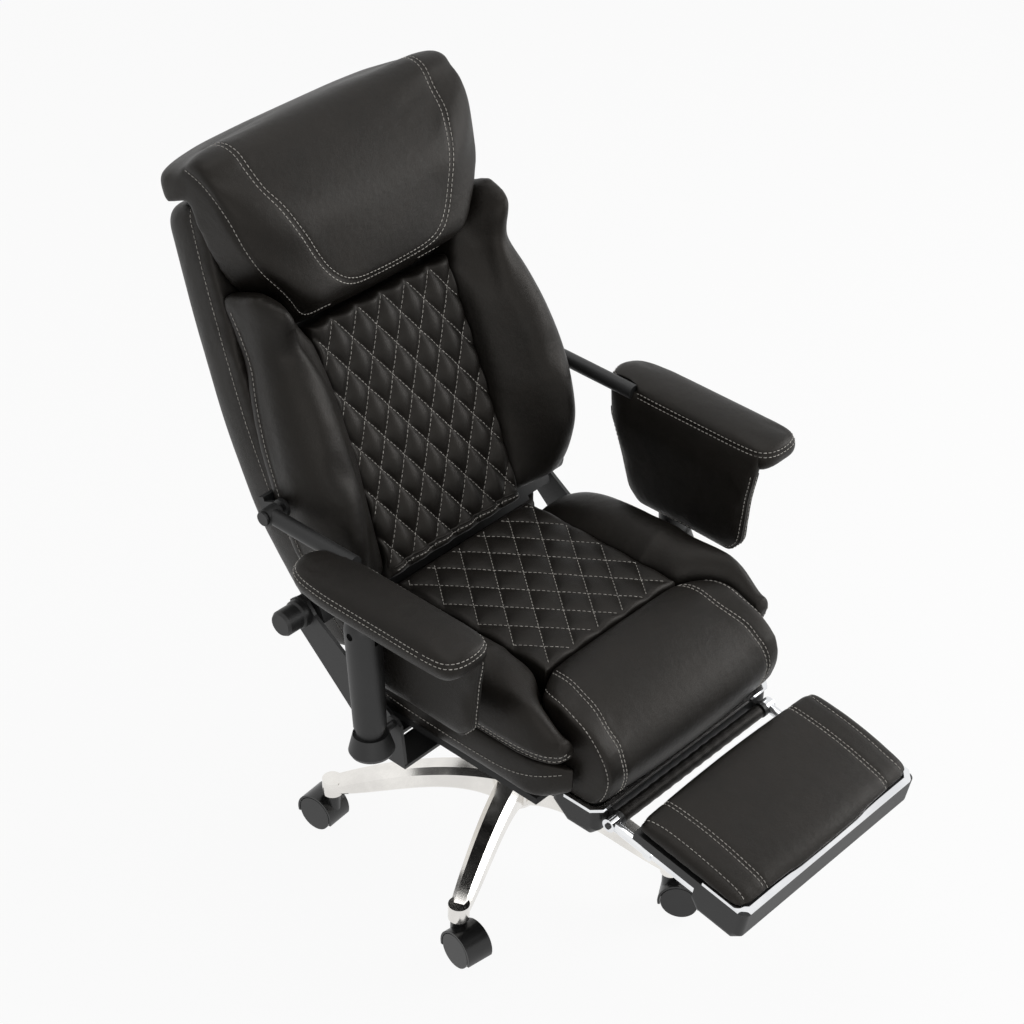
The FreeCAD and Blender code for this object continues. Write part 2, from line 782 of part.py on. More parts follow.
def make_mechanism():
    plate_low = S.pan_low - S.housing_plate
    lever_height = S.housing_low + S.lever_rise
    knob_height = S.housing_low + S.knob_rise
    shell = plate("housing_shell", "YZ_Plane", [
        (-S.housing_front, S.housing_low + 12), (-S.housing_front + 22, S.housing_low),
        (S.housing_rear - 26, S.housing_low), (S.housing_rear, S.housing_low + 20),
        (S.housing_rear, plate_low), (-S.housing_front, plate_low),
    ], S.housing_half_width * 2, symmetric=True)
    flange = plate("housing_flange", "XY_Plane", [
        (-S.housing_plate_half_width, -S.housing_front + 10),
        (S.housing_plate_half_width, -S.housing_front + 10),
        (S.housing_plate_half_width, S.housing_rear + 12),
        (-S.housing_plate_half_width, S.housing_rear + 12),
    ], S.housing_plate, plate_low)
    socket = cylinder("piston_socket", S.piston_radius + S.running_clearance, S.piston_socket_depth,
                      (0, 0, S.housing_low))
    slot_half = 5
    lever_slot = block("lever_slot", (S.lever_pivot_x - 9, -S.lever_forward - slot_half - S.seating_gap,
                                      lever_height - 9),
                       (S.housing_half_width + 10, -S.lever_forward + slot_half + S.seating_gap,
                        lever_height + 12))
    screw_hole = cylinder("screw_hole", S.screw_radius + S.running_clearance, 60,
                          (0, -S.housing_front - 20, knob_height), "y")
    bolt_holes = []
    bolts = []
    for x, y in bolt_places():
        bolt_holes.append(cylinder("bolt_hole", S.bolt_radius, S.housing_plate * 3,
                                   (x, y, plate_low - S.housing_plate)))
        head = cylinder("bolt_head", S.bolt_head_radius, S.bolt_head_height,
                        (x, y, plate_low - S.bolt_head_height))
        shank = cylinder("bolt_shank", S.bolt_radius, S.housing_plate + S.pan_thickness - 2,
                         (x, y, plate_low))
        bolts.append(joined("bolt", [head, shank]))
    tools = joined("housing_tools", [socket, lever_slot, screw_hole] + bolt_holes)
    hollowed = cut("housing_hollowed", joined("housing_blank", [shell, flange]), tools)
    lever_pin = cylinder("lever_pin", S.lever_pin_radius, slot_half * 4,
                         (S.lever_pivot_x, -S.lever_forward - slot_half * 2, lever_height), "y")
    housing = joined("tilt_housing", [hollowed, lever_pin])
    rod = cylinder("lever_rod", S.lever_radius, S.lever_reach,
                   (S.lever_pivot_x, -S.lever_forward, lever_height), "x")
    eye = cylinder("lever_eye", S.lever_pin_radius + 4, slot_half * 2,
                   (S.lever_pivot_x, -S.lever_forward - slot_half, lever_height), "y")
    end = S.lever_pivot_x + S.lever_reach
    paddle = block("lever_paddle", (end - S.paddle_length, -S.lever_forward - 15, lever_height - 6),
                   (end + 6, -S.lever_forward + 15, lever_height + 5))
    rounded = doc.addObject("Part::Fillet", "lever_paddle_round")
    rounded.Base = paddle
    doc.recompute()
    rounded.Edges = [(i + 1, 4.5, 4.5) for i in range(len(paddle.Shape.Edges))]
    pin_hole = cylinder("lever_pin_hole", S.lever_pin_radius + S.running_clearance, slot_half * 4,
                        (S.lever_pivot_x, -S.lever_forward - slot_half * 2, lever_height), "y")
    lever = cut("height_lever", joined("lever_blank", [rod, eye, rounded]), pin_hole)
    grip = S.knob_length
    knob_front = -S.housing_front - S.seating_gap - grip
    head = turned("knob_head", [
        (0, 0), (S.knob_radius - 4, 0), (S.knob_radius, 5), (S.knob_radius, grip - 10),
        (S.knob_radius - 7, grip), (0, grip),
    ])
    place(head, (0, knob_front, knob_height), TURNS["y"])
    screw = cylinder("knob_screw", S.screw_radius, 38, (0, knob_front + grip - 4, knob_height), "y")
    knob = joined("tension_knob", [head, screw])
    return [housing, lever, knob, group("seat_bolts", bolts)]


# seat: pan, foam core, border, quilted centre, bolsters and front roll

def make_seat_frame():
    pan = plate("pan_board", "XY_Plane", [
        (-S.pan_half_width, -S.pan_front), (S.pan_half_width, -S.pan_front),
        (S.pan_half_width, S.pan_rear), (-S.pan_half_width, S.pan_rear),
    ], S.pan_thickness, S.pan_low)
    round_edges(pan, S.pan_corner, lambda e: runs_along(e, Vector(0, 0, 1))
                and e.CenterOfMass.y > 0)
    holes = [cylinder("pan_hole", S.bolt_radius, S.pan_thickness - 2, (x, y, S.pan_low))
             for x, y in bolt_places()]
    pan_drilled = cut("seat_pan", pan, joined("pan_holes", holes))

    core_low = S.pan_low + S.pan_thickness
    core = plate("seat_core", "XY_Plane", [
        (-S.core_half_width, -S.seat_front_seam), (S.core_half_width, -S.seat_front_seam),
        (S.core_half_width, S.border_rear - S.border_rear_wall - S.seating_gap),
        (-S.core_half_width, S.border_rear - S.border_rear_wall - S.seating_gap),
    ], S.core_top - core_low, core_low)

    inner = S.core_half_width + S.seating_gap
    rear_inner = S.border_rear - S.border_rear_wall
    border_low = core_low + S.seating_gap
    border = plate("seat_border", "XY_Plane", [
        (-S.border_half_width, -S.border_front + 60), (-S.border_half_width + 30, -S.border_front),
        (-inner, -S.border_front), (-inner, rear_inner), (inner, rear_inner), (inner, -S.border_front),
        (S.border_half_width - 30, -S.border_front), (S.border_half_width, -S.border_front + 60),
        (S.border_half_width, S.border_rear), (-S.border_half_width, S.border_rear),
    ], S.border_top - border_low, border_low)
    round_edges(border, S.border_round * 2, lambda e: runs_along(e, Vector(0, 0, 1))
                and abs(e.CenterOfMass.x) > num(S.border_half_width) - 1)
    low = num(border_low)
    round_edges(border, S.border_round, lambda e: abs(e.CenterOfMass.z - low) < 0.5
                and abs(e.CenterOfMass.x) > num(S.border_half_width) - 20)
    return [pan_drilled, core, border]


def make_centre_pad():
    """The flat quilted middle of the seat; its rear end stands clear of the reclining back."""
    front = -num(S.seat_front_seam)
    rear = num(S.seat_rear)
    low = num(S.core_top) + num(S.seating_gap)
    top = num(S.seat_top)
    half = num(S.centre_half_width)
    relief = num(S.border_rear) - 9
    corners = [(front, low), (relief, low), (rear, low + 32), (rear, top), (front, top)]
    radii = [2, 6, 3, 12, 3]
    bulges = [0, 0, 0, 0, 0]
    slab = soft_loft([(corners, radii, bulges, along(x)) for x in (-half, half)])
    span = (-half, half, front + 2, rear - 10)
    cell = num(S.seat_diamond)
    quilted = quilt(slab, span, cell, cell, 0.2, level(top), Vector(0, 0, -1))
    return shaped("seat_centre_pad", quilted)


def make_bolster(side):
    """A long side bolster, pinched at its front where it tucks behind the front roll."""
    inner = num(S.centre_half_width) + 1.5
    outer = num(S.bolster_half_width)
    roll = num(S.roll_half_width) + 2
    low = num(S.border_top) + num(S.seating_gap) + 6.5
    crest = num(S.bolster_top)
    rear = num(S.seat_rear) - 10
    seam = -num(S.seat_front_seam)
    front = seam - 120
    keys = [
        (front, roll + 6, outer - 20, low + 22, crest - 80),
        (front + 16, roll + 3, outer - 9, low + 8, crest - 52),
        (front + 48, roll + 1, outer - 3, low + 1, crest - 22),
        (seam - 42, roll, outer, low, crest - 6),
        (seam - 32, roll - 6, outer, low, crest - 3),
        (seam - 22, roll - 17, outer, low, crest - 1),
        (seam - 10, roll - 37, outer, low, crest),
        (seam, inner + 4, outer, low, crest),
        (seam + 10, inner, outer, low, crest - 1),
        (-40, inner, outer, low, crest - 9),
        (rear - 84, inner, outer, low, crest - 20),
        (rear - 26, inner, outer - 8, low + 4, crest - 42),
        (rear, inner + 4, outer - 24, low + 34, crest - 66),
    ]
    sections = []
    for y in crowded(front, seam - 42, 7) + spread(seam - 36, seam + 18, 9) + crowded(seam + 26, rear, 9):
        x_in, x_out, z_low, z_top = eased(keys, y)
        height = z_top - z_low
        width = x_out - x_in
        corners = [(x_in, z_low), (x_out - 5, z_low), (x_out, z_top - height * 0.42),
                   (x_out - width * 0.3, z_top), (x_in, z_top - height * 0.33)]
        radii = [2, min(12, height * 0.2), min(22, height * 0.22), min(22, width * 0.22), 7]
        bulges = [0, 1.5, 3, min(5, width * 0.05), 0]
        sections.append((flipped(corners, side), flipped_values(radii, side),
                         flipped_values(bulges, side, per_side=True), across(y)))
    return shaped("seat_bolster_" + side_name(side), soft_loft(sections))


def make_front_roll():
    """The waterfall front edge: full in the middle, drawn in at its sewn ends."""
    half = num(S.roll_half_width)
    nose = -num(S.roll_nose)
    nose_height = num(S.roll_nose_height)
    low = num(S.roll_low)
    top = num(S.roll_top)
    seam = -num(S.seat_front_seam) - num(S.seating_gap)
    keys = [
        (0, 10, 42), (6, 4, 33), (16, 1.2, 24), (34, 0, 14), (62, -1, 3), (104, -2.5, 0),
        (155, -3.5, 0), (half, -4, 0),
    ]
    sections = []
    for x in crowded(-half, half, 20):
        shrink, setback = eased(keys, half - abs(x))
        rear = seam - setback
        corners = [(nose + 34 + shrink, low), (rear, low), (rear, top - shrink - 2),
                   (rear - 110 + shrink, top - 12 - shrink), (nose + shrink, nose_height + 10)]
        radii = [10, 3, 10, 44, 34]
        bulges = [0, 0, 7, 3, 3]
        sections.append((corners, radii, bulges, along(x)))
    return shaped("seat_front_roll", soft_loft(sections))


# chrome rim and footrest housing below the front roll

def rim_outline(half_width, front, strip, back):
    """A U seen from above: the strip runs along the front and returns on both sides."""
    inner = half_width - strip
    return [
        (-half_width, -back), (-half_width, -front + 14), (-half_width + 14, -front),
        (half_width - 14, -front), (half_width, -front + 14), (half_width, -back),
        (inner, -back), (inner, -front + 18), (inner - 10, -front + strip),
        (-inner + 10, -front + strip), (-inner, -front + 18), (-inner, -back),
    ]


def make_front_housing():
    rim = plate("front_trim", "XY_Plane",
                rim_outline(S.slab_half_width + S.rim_overhang, S.slab_front + S.rim_overhang,
                            S.rim_width, S.slab_front - S.rim_return),
                S.rim_thickness, S.slab_top)
    slab = plate("footrest_housing", "YZ_Plane", [
        (-S.slab_front, S.slab_top), (-S.slab_front, S.slab_low + 14), (-S.slab_front + 14, S.slab_low),
        (-S.slab_front + 58, S.slab_low), (-S.slab_rear, S.slab_low + 26), (-S.slab_rear, S.slab_top),
    ], S.slab_half_width * 2, symmetric=True)
    round_edges(slab, S.slab_round, lambda e: abs(abs(e.CenterOfMass.x) - num(S.slab_half_width)) < 0.5
                and e.CenterOfMass.z < num(S.slab_top) - 3)
    return [rim, slab]


# footrest: built level about its hinge axis, then tipped down by its slope

def footrest_placement():
    return Placement(Vector(0, -num(S.hinge_y), num(S.hinge_z)),
                     Rotation(Vector(1, 0, 0), num(S.footrest_slope)))


def hang_on_hinge(node):
    """Moves a piece from the level footrest frame to its place on the chair."""
    node.Placement = footrest_placement()
    bind(node, "Placement.Base.y", -S.hinge_y)
    bind(node, "Placement.Base.z", S.hinge_z)
    bind(node, "Placement.Rotation.Angle", S.footrest_slope)


def make_hinge_bar():
    bar = cylinder("hinge_bar", S.hinge_bar_radius, S.bar_half_length * 2,
                   (-S.bar_half_length, -S.hinge_y, S.hinge_z), "x")
    fittings = []
    for side in (1, -1):
        tag = side_name(side)
        near = S.bar_half_length if side > 0 else -S.bar_half_length - S.lug_thickness
        eye = cylinder("lug_eye_" + tag, S.hinge_bar_radius + 1.5, S.lug_thickness,
                       (near, -S.hinge_y, S.hinge_z), "x")
        foot = block("lug_foot_" + tag, (near, -S.hinge_y, S.hinge_z - S.hinge_bar_radius + 2),
                     (near + S.lug_thickness, -S.slab_front, S.hinge_z + S.hinge_bar_radius - 2))
        pin_start = near if side > 0 else -S.rail_spread - S.rail_outer_radius - 3
        pin = cylinder("hinge_pin_" + tag, S.rail_inner_radius - 1,
                       S.rail_spread + S.rail_outer_radius + 3 - S.bar_half_length,
                       (pin_start, -S.hinge_y, S.hinge_z), "x")
        fittings.append(joined("fitting_" + tag, [eye, foot, pin]))
    return [bar, group("hinge_fittings", fittings)]


def make_rails():
    """Outer tubes that turn on the hinge pins, and inner tubes that slide in them."""
    outer = []
    inner = []
    for side in (1, -1):
        tag = side_name(side)
        x = S.rail_spread * side
        start = S.rail_eye_radius - 3
        tube = cylinder("rail_tube_" + tag, S.rail_outer_radius, S.rail_outer_length - start,
                        (x, -S.rail_outer_length, 0), "y")
        eye = cylinder("rail_eye_" + tag, S.rail_eye_radius, S.rail_outer_radius * 2 + 2,
                       (x - S.rail_outer_radius - 1, 0, 0), "x")
        collar = cylinder("rail_collar_" + tag, S.rail_collar_radius, S.rail_collar_length,
                          (x, -S.rail_outer_length, 0), "y")
        bore = cylinder("rail_bore_" + tag, S.rail_inner_radius + S.running_clearance,
                        S.rail_outer_length, (x, -S.rail_outer_length - S.rail_eye_radius, 0), "y")
        pin_hole = cylinder("rail_pin_hole_" + tag, S.rail_inner_radius - 1 + S.running_clearance,
                            S.rail_outer_radius * 4, (x - S.rail_outer_radius * 2, 0, 0), "x")
        outer.append(cut("outer_rail_" + tag, joined("rail_blank_" + tag, [tube, eye, collar]),
                         joined("rail_cuts_" + tag, [bore, pin_hole])))
        length = S.foot_box_rear + S.foot_socket_depth - (S.rail_outer_length - S.rail_overlap)
        inner.append(cylinder("inner_rail_" + tag, S.rail_inner_radius, length,
                              (x, -S.foot_box_rear - S.foot_socket_depth, 0), "y"))
    nodes = [group("outer_rails", outer), group("inner_rails", inner)]
    for node in nodes:
        hang_on_hinge(node)
    return nodes


def make_foot_pan():
    """The dark lower slab: thin at the rear, deep at the front where the rails end in it."""
    wide = S.foot_half_width + S.rim_overhang
    front = S.foot_front + S.rim_overhang
    blank = plate("foot_pan_blank", "YZ_Plane", [
        (-S.foot_rear - 4, S.foot_pan_top), (-front, S.foot_pan_top), (-front, S.foot_pan_low + 14),
        (-front + 14, S.foot_pan_low), (-S.foot_box_rear - 12, S.foot_pan_low),
        (-S.foot_box_rear, S.foot_pan_low + 12), (-S.foot_box_rear, S.foot_pan_thin),
        (-S.foot_rear - 4, S.foot_pan_thin),
    ], wide * 2, symmetric=True)
    round_edges(blank, S.slab_round - 2, lambda e: abs(abs(e.CenterOfMass.x) - num(wide)) < 0.5
                and e.CenterOfMass.z < num(S.foot_pan_top) - 3 and e.CenterOfMass.y < -num(S.foot_box_rear) - 1)
    sockets = []
    for side in (1, -1):
        sockets.append(cylinder("pan_socket_" + side_name(side), S.rail_inner_radius,
                                S.foot_socket_depth, (S.rail_spread * side,
                                                      -S.foot_box_rear - S.foot_socket_depth, 0), "y"))
    pan = cut("footrest_pan", blank, joined("pan_sockets", sockets))
    trim = plate("footrest_trim", "XY_Plane",
                 rim_outline(wide, front, S.rim_width, S.foot_box_rear + 10),
                 S.rim_thickness, S.foot_pan_top)
    for node in (pan, trim):
        hang_on_hinge(node)
    return [pan, trim]


def make_foot_pad():
    """The padded top: crowned, rounded over its front and drawn in at both sewn ends."""
    half = num(S.foot_half_width) - num(S.rim_width) + num(S.rim_overhang) - num(S.seating_gap)
    rear = -num(S.foot_rear)
    front = -num(S.foot_front) - num(S.rim_overhang) + num(S.rim_width) + num(S.seating_gap) + 3
    low = num(S.foot_pan_top) + num(S.seating_gap)
    top = num(S.foot_pad_top)
    keys = [(0, 9), (6, 3.5), (16, 1), (36, 0), (70, -1), (110, -2), (155, -2.7), (half, -3)]
    sections = []
    for x in crowded(-half, half, 18):
        shrink = eased(keys, half - abs(x))[0]
        corners = [(front + shrink, low), (rear - shrink, low), (rear - shrink - 2, top - 3 - shrink),
                   (front + 10 + shrink, top - 9 - shrink)]
        sections.append((corners, [6, 6, 12, 17], [0, 1, 6, 2], along(x)))
    pad_node = shaped("footrest_pad", soft_loft(sections), footrest_placement())
    return [pad_node]


# back: built upright in its own frame, x across, -y forwards, z up from the seam with the seat

def back_placement():
    return Placement(Vector(0, num(S.back_seam_y), num(S.back_seam_z)),
                     Rotation(Vector(1, 0, 0), -num(S.back_lean)))


def in_back_frame(y, z):
    """The chair's point (y, z) in the upright back frame, as plain numbers."""
    dy = num(y) - num(S.back_seam_y)
    dz = num(z) - num(S.back_seam_z)
    lean = math.radians(num(S.back_lean))
    return (dy * math.cos(lean) - dz * math.sin(lean), dy * math.sin(lean) + dz * math.cos(lean))


def make_back_pad():
    """The quilted centre with tall diamonds."""
    half = num(S.centre_half_width)
    low = num(S.back_pad_low)
    top = num(S.back_pad_top)
    thick = num(S.back_pad_thickness)
    corners = [(0, low), (thick, low), (thick, top), (0, top)]
    slab = soft_loft([(corners, [8, 2, 2, 4], [0, 0, 0, 0], along(x)) for x in (-half, half)])
    span = (-half, half, low + 3, top - 3)
    quilted = quilt(slab, span, num(S.back_diamond_width), num(S.back_diamond_height), 0.2,
                    across(0), Vector(0, 1, 0))
    return shaped("back_centre_pad", quilted, back_placement())


def make_wing(side):
    """A big side bolster of the back, highest near its outer edge."""
    inner = num(S.centre_half_width) + 1.5
    outer = num(S.wing_half_width)
    crest = num(S.wing_crest)
    rear = num(S.back_pad_thickness)
    keys = [
        (6, inner, outer - 36, crest * 0.12),
        (18, inner, outer - 28, crest * 0.3),
        (44, inner, outer - 17, crest * 0.56),
        (100, inner, outer - 4, crest * 0.88),
        (180, inner, outer, crest),
        (265, inner, outer - 4, crest * 0.97),
        (340, inner, outer - 15, crest * 0.84),
        (388, inner, outer - 26, crest * 0.71),
        (404, inner + 7, outer - 27, crest * 0.67),
        (428, inner + 27, outer - 26, crest * 0.58),
        (468, inner + 60, outer - 23, crest * 0.42),
        (500, inner + 84, outer - 21, crest * 0.1),
    ]
    sections = []
    for z in crowded(6, 180, 9) + spread(202, 380, 9) + spread(392, 436, 5) + spread(448, 500, 5):
        x_in, x_out, height = eased(keys, z)
        width = x_out - x_in
        corners = [(x_in, rear), (x_in, -height * 0.05), (x_out - width * 0.28, -height),
                   (x_out, -height * 0.35), (x_out - 3, rear)]
        radii = [3, min(8, width * 0.12), min(26, width * 0.25, height * 0.5 + 4),
                 min(24, width * 0.3, height * 0.5 + 4), min(10, width * 0.15)]
        bulges = [0, min(6, width * 0.05), 3, 3, 0]
        corners = list(reversed(corners))
        radii = list(reversed(radii))
        bulges = list(reversed(bulges))
        bulges = bulges[1:] + bulges[:1]
        sections.append((flipped(corners, side), flipped_values(radii, side),
                         flipped_values(bulges, side, per_side=True), level(z)))
    return shaped("back_wing_" + side_name(side), soft_loft(sections), back_placement())


def make_headrest():
    """The pillow: it hangs over the quilted pad in front and hooks over the shell's top behind."""
    half = num(S.headrest_half_width)
    low = num(S.headrest_low)
    top = num(S.headrest_top)
    front = -num(S.headrest_front)
    rear = num(S.back_pad_thickness) - 1
    shell_top = num(S.shell_top) + 3
    hook = num(S.back_pad_thickness) + num(S.board_thickness) + num(S.shell_depth) * 0.6
    keys = [
        (0, 0.82, 0.46, 15, hook - 24),
        (8, 0.63, 0.62, 9, hook - 12),
        (26, 0.43, 0.77, 4, hook - 5),
        (52, 0.26, 0.9, 1, hook - 1),
        (88, 0.06, 0.98, 0, hook),
        (108, 0, 1, 0, hook),
        (half, 0, 1, 0, hook),
    ]
    sections = []
    for x in crowded(-half, half, 26):
        lift, fullness, drop, hook_depth = eased(keys, half - abs(x))
        bottom = low + lift * (shell_top - low)
        nose = front * fullness
        upper = top - drop
        height = upper - bottom
        corners = [
            (rear, bottom), (rear, shell_top - drop * 0.2), (hook_depth, shell_top - drop * 0.2),
            (hook_depth, upper - 22), (nose * 0.2, upper), (nose, bottom + height * 0.55),
            (nose * 0.8, bottom + height * 0.12),
        ]
        radii = [2, 2, 6, 14, 30 * fullness + 6, 30 * fullness + 6, 12 * fullness + 3]
        bulges = [0, 0, 0, 4, 4, 3, 0]
        corners = list(reversed(corners))
        radii = list(reversed(radii))
        bulges = list(reversed(bulges))
        bulges = bulges[1:] + bulges[:1]
        sections.append((corners, radii, bulges, along(x)))
    return shaped("headrest", soft_loft(sections), back_placement())


def shell_outline(inset):
    """The back's outline seen from the front, drawn in by inset."""
    wide = num(S.shell_half_width) - inset
    low = num(S.shell_low) + inset
    top = num(S.shell_top) - inset
    return [
        (-wide + 59, low), (wide - 59, low), (wide - 31, 0), (wide - 5, 140), (wide - 1, 300),
        (wide - 12, 500), (wide - 26, top), (-wide + 26, top), (-wide + 12, 500), (-wide + 1, 300),
        (-wide + 5, 140), (-wide + 31, 0),
    ]


def make_shell():
    """The rear cover with its thick border; the front face is flat against the board."""
    front = num(S.back_pad_thickness) + num(S.board_thickness) + num(S.seating_gap)
    depth = num(S.shell_depth)
    radii = [30, 30, 40, 40, 40, 60, 26, 26, 60, 40, 40, 40]
    sections = []
    for share, inset in ((0, 3), (0.2, 0), (0.6, 1), (0.86, 10), (1, 32)):
        sections.append((shell_outline(inset), radii, [0] * 12, across(front + depth * share)))
    return shaped("back_shell", soft_loft(sections), back_placement())


def strap_piece(name, side, height, y_pivot, z_pivot, plate_inner, eye_radius):
    """A strap from the board's edge and a flat eye that stands outside the back, about a pivot."""
    thick = num(S.plate_thickness)
    inner = num(plate_inner)
    front = num(S.back_pad_thickness) + 1
    rear = num(S.back_pad_thickness) + num(S.board_thickness) - 1
    half = height / 2
    strap = Part.makeBox(inner + thick - num(S.board_half_width), rear - front, height,
                         Vector(num(S.board_half_width), front, z_pivot - half))
    if y_pivot > rear:
        strip = Part.makeBox(thick, y_pivot - front, height * 0.8, Vector(inner, front, z_pivot - half * 0.8))
    else:
        strip = Part.makeBox(thick, rear - y_pivot, height * 0.6, Vector(inner, y_pivot, z_pivot - half * 0.6))
    eye = Part.makeCylinder(eye_radius, thick, Vector(inner, y_pivot, z_pivot), Vector(1, 0, 0))
    made = strap.fuse([strip, eye]).removeSplitter()
    return made if side > 0 else made.mirror(Vector(), Vector(1, 0, 0))


def make_back_frame():
    """Board and hinge lugs in one node, and one arm bracket on each side."""
    front = num(S.back_pad_thickness) + num(S.seating_gap)
    half = num(S.board_half_width)
    low = num(S.board_low)
    top = num(S.board_top)
    outline = [(-half, low), (half, low), (half, top - 60), (half - 40, top), (-half + 40, top),
               (-half, top - 60)]
    board_wire = Part.makePolygon([Vector(x, front, z) for x, z in outline + outline[:1]])
    board = Part.Face(board_wire).extrude(Vector(0, num(S.board_thickness) - num(S.seating_gap), 0))
    pivot_y, pivot_z = in_back_frame(S.recline_y, S.recline_z)
    pieces = [board]
    hole = num(S.recline_axle_radius) + num(S.running_clearance)
    for side in (1, -1):
        pieces.append(strap_piece("lug", side, 44, pivot_y, pivot_z, S.lug_inner, num(S.lug_radius)))
    frame_shape = pieces[0].fuse(pieces[1:])
    bore = Part.makeCylinder(hole, 800, Vector(-400, pivot_y, pivot_z), Vector(1, 0, 0))
    reach = num(S.lug_inner) - 8
    keep = Part.makeBox(reach * 2, 400, 400, Vector(-reach, -100, -200))
    frame_shape = frame_shape.cut(bore.cut(keep)).removeSplitter()
    nodes = [shaped("back_frame", frame_shape, back_placement())]

    link_y, link_z = in_back_frame(S.recline_y + S.arm_link_lean, S.recline_z + S.arm_link_height)
    for side in (1, -1):
        base = strap_piece("link", side, 34, link_y, link_z, S.link_plate_inner, 15)
        pin_length = num(S.arm_tube_x) + num(S.arm_tube_radius) + 5 - num(S.link_plate_inner)
        pin = Part.makeCylinder(num(S.link_pin_radius), pin_length,
                                Vector(side * num(S.link_plate_inner), link_y, link_z), Vector(side, 0, 0))
        washer_x = side * (num(S.arm_tube_x) + num(S.arm_tube_radius) + 1)
        washer = Part.makeCylinder(11, 4, Vector(washer_x, link_y, link_z), Vector(side, 0, 0))
        piece = base.fuse([pin, washer]).removeSplitter()
        nodes.append(shaped("arm_link_bracket_" + side_name(side), piece, back_placement()))
    return nodes


# recline hinge on the seat: a plate that rises from the pan, and a capped hub with the axle

def make_recline_side(side):
    tag = side_name(side)
    thick = S.plate_thickness
    inner = S.seat_plate_inner
    outline = [
        (S.border_rear - 80, S.pan_low - thick), (S.border_rear, S.pan_low - thick),
        (S.recline_y + 24, S.recline_z - 16), (S.recline_y + 24, S.recline_z + 12),
        (S.recline_y + 8, S.recline_z + 26), (S.recline_y - 12, S.recline_z + 26),
        (S.recline_y - 28, S.recline_z + 8), (S.border_rear - 80, S.pan_low + 36),
    ]
    rise = plate("recline_rise_" + tag, "YZ_Plane", outline, thick, inner if side > 0 else -inner - thick)
    near = S.core_half_width - 40
    x_low = near if side > 0 else -inner - thick
    x_high = inner + thick if side > 0 else -near
    foot = block("recline_foot_" + tag, (x_low, S.border_rear - 80, S.pan_low - thick),
                 (x_high, S.pan_rear, S.pan_low))
    hole = cylinder("recline_hole_" + tag, S.recline_axle_radius, thick * 4,
                    (inner - thick if side > 0 else -inner - thick * 3, S.recline_y, S.recline_z), "x")
    made = cut("recline_plate_" + tag, joined("recline_blank_" + tag, [rise, foot]), hole)

    axle_start = S.lug_inner - 5
    cap_start = inner + thick
    hub = turned("recline_hub_" + tag, [
        (0, axle_start), (S.recline_axle_radius, axle_start), (S.recline_axle_radius, cap_start),
        (S.hub_cap_radius + 2, cap_start), (S.hub_cap_radius + 2, cap_start + 10),
        (S.hub_cap_radius, cap_start + 14), (S.hub_cap_radius, S.hub_cap_end - 5),
        (S.hub_cap_radius - 3, S.hub_cap_end), (0, S.hub_cap_end),
    ])
    turn = Rotation(Vector(0, 1, 0), 90 * side)
    hub.Placement = Placement(Vector(0, num(S.recline_y), num(S.recline_z)), turn)
    bind(hub, "Placement.Base.y", S.recline_y)
    bind(hub, "Placement.Base.z", S.recline_z)
    return [made, hub]


# arms

def post_axis_turn():
    """The post leans so that it stays parallel to the back's link."""
    lean = math.degrees(math.atan2(num(S.arm_link_lean), num(S.arm_link_height)))
    return Rotation(Vector(1, 0, 0), -lean)


def stand_post(node, side):
    node.Placement = Placement(Vector(side * num(S.post_x), num(S.post_y), num(S.post_z)), post_axis_turn())
    bind(node, "Placement.Base.x", S.post_x * side)
    bind(node, "Placement.Base.y", S.post_y)
    bind(node, "Placement.Base.z", S.post_z)


def make_post(side):
    """Tapered round post on a necked cup; it turns on a pin through the cup and one at its top."""
    tag = side_name(side)
    length = math.hypot(num(S.arm_link_lean), num(S.arm_link_height))
    ball_radius = S.post_top_radius - 1
    sleeve = cone("post_sleeve_" + tag, S.post_low_radius, ball_radius, length - 26, (0, 0, 26))
    dome = ball("post_dome_" + tag, ball_radius, (0, 0, length))
    blank = joined("post_blank_" + tag, [sleeve, dome])
    half_slot = S.post_tongue / 2 + S.seating_gap
    slot = block("post_slot_" + tag, (-half_slot, -S.post_top_radius - 4, length - 17),
                 (half_slot, S.post_top_radius + 4, length + 40))
    pin_hole = cylinder("post_pin_hole_" + tag, S.post_pin_radius + S.running_clearance, 80,
                        (-40, 0, length), "x")
    post = cut("arm_post_" + tag, blank, joined("post_cuts_" + tag, [slot, pin_hole]))

    cup = turned("cup_turn_" + tag, [
        (0, -33), (S.cup_low_radius - 15, -30), (S.cup_low_radius - 3, -23), (S.cup_low_radius, -17),
        (S.cup_low_radius - 1, -13), (S.cup_top_radius, 12), (S.neck_radius, 12),
        (S.neck_radius, 26), (0, 26),
    ])
    pin_inner = S.post_x - S.arm_bracket_inner
    bore = cylinder("cup_bore_" + tag, S.post_pin_radius + S.running_clearance, pin_inner,
                    (-pin_inner if side > 0 else 0, 0, 0), "x")
    foot = cut("post_cup_" + tag, cup, bore)
    for node in (post, foot):
        stand_post(node, side)
    return [post, foot]


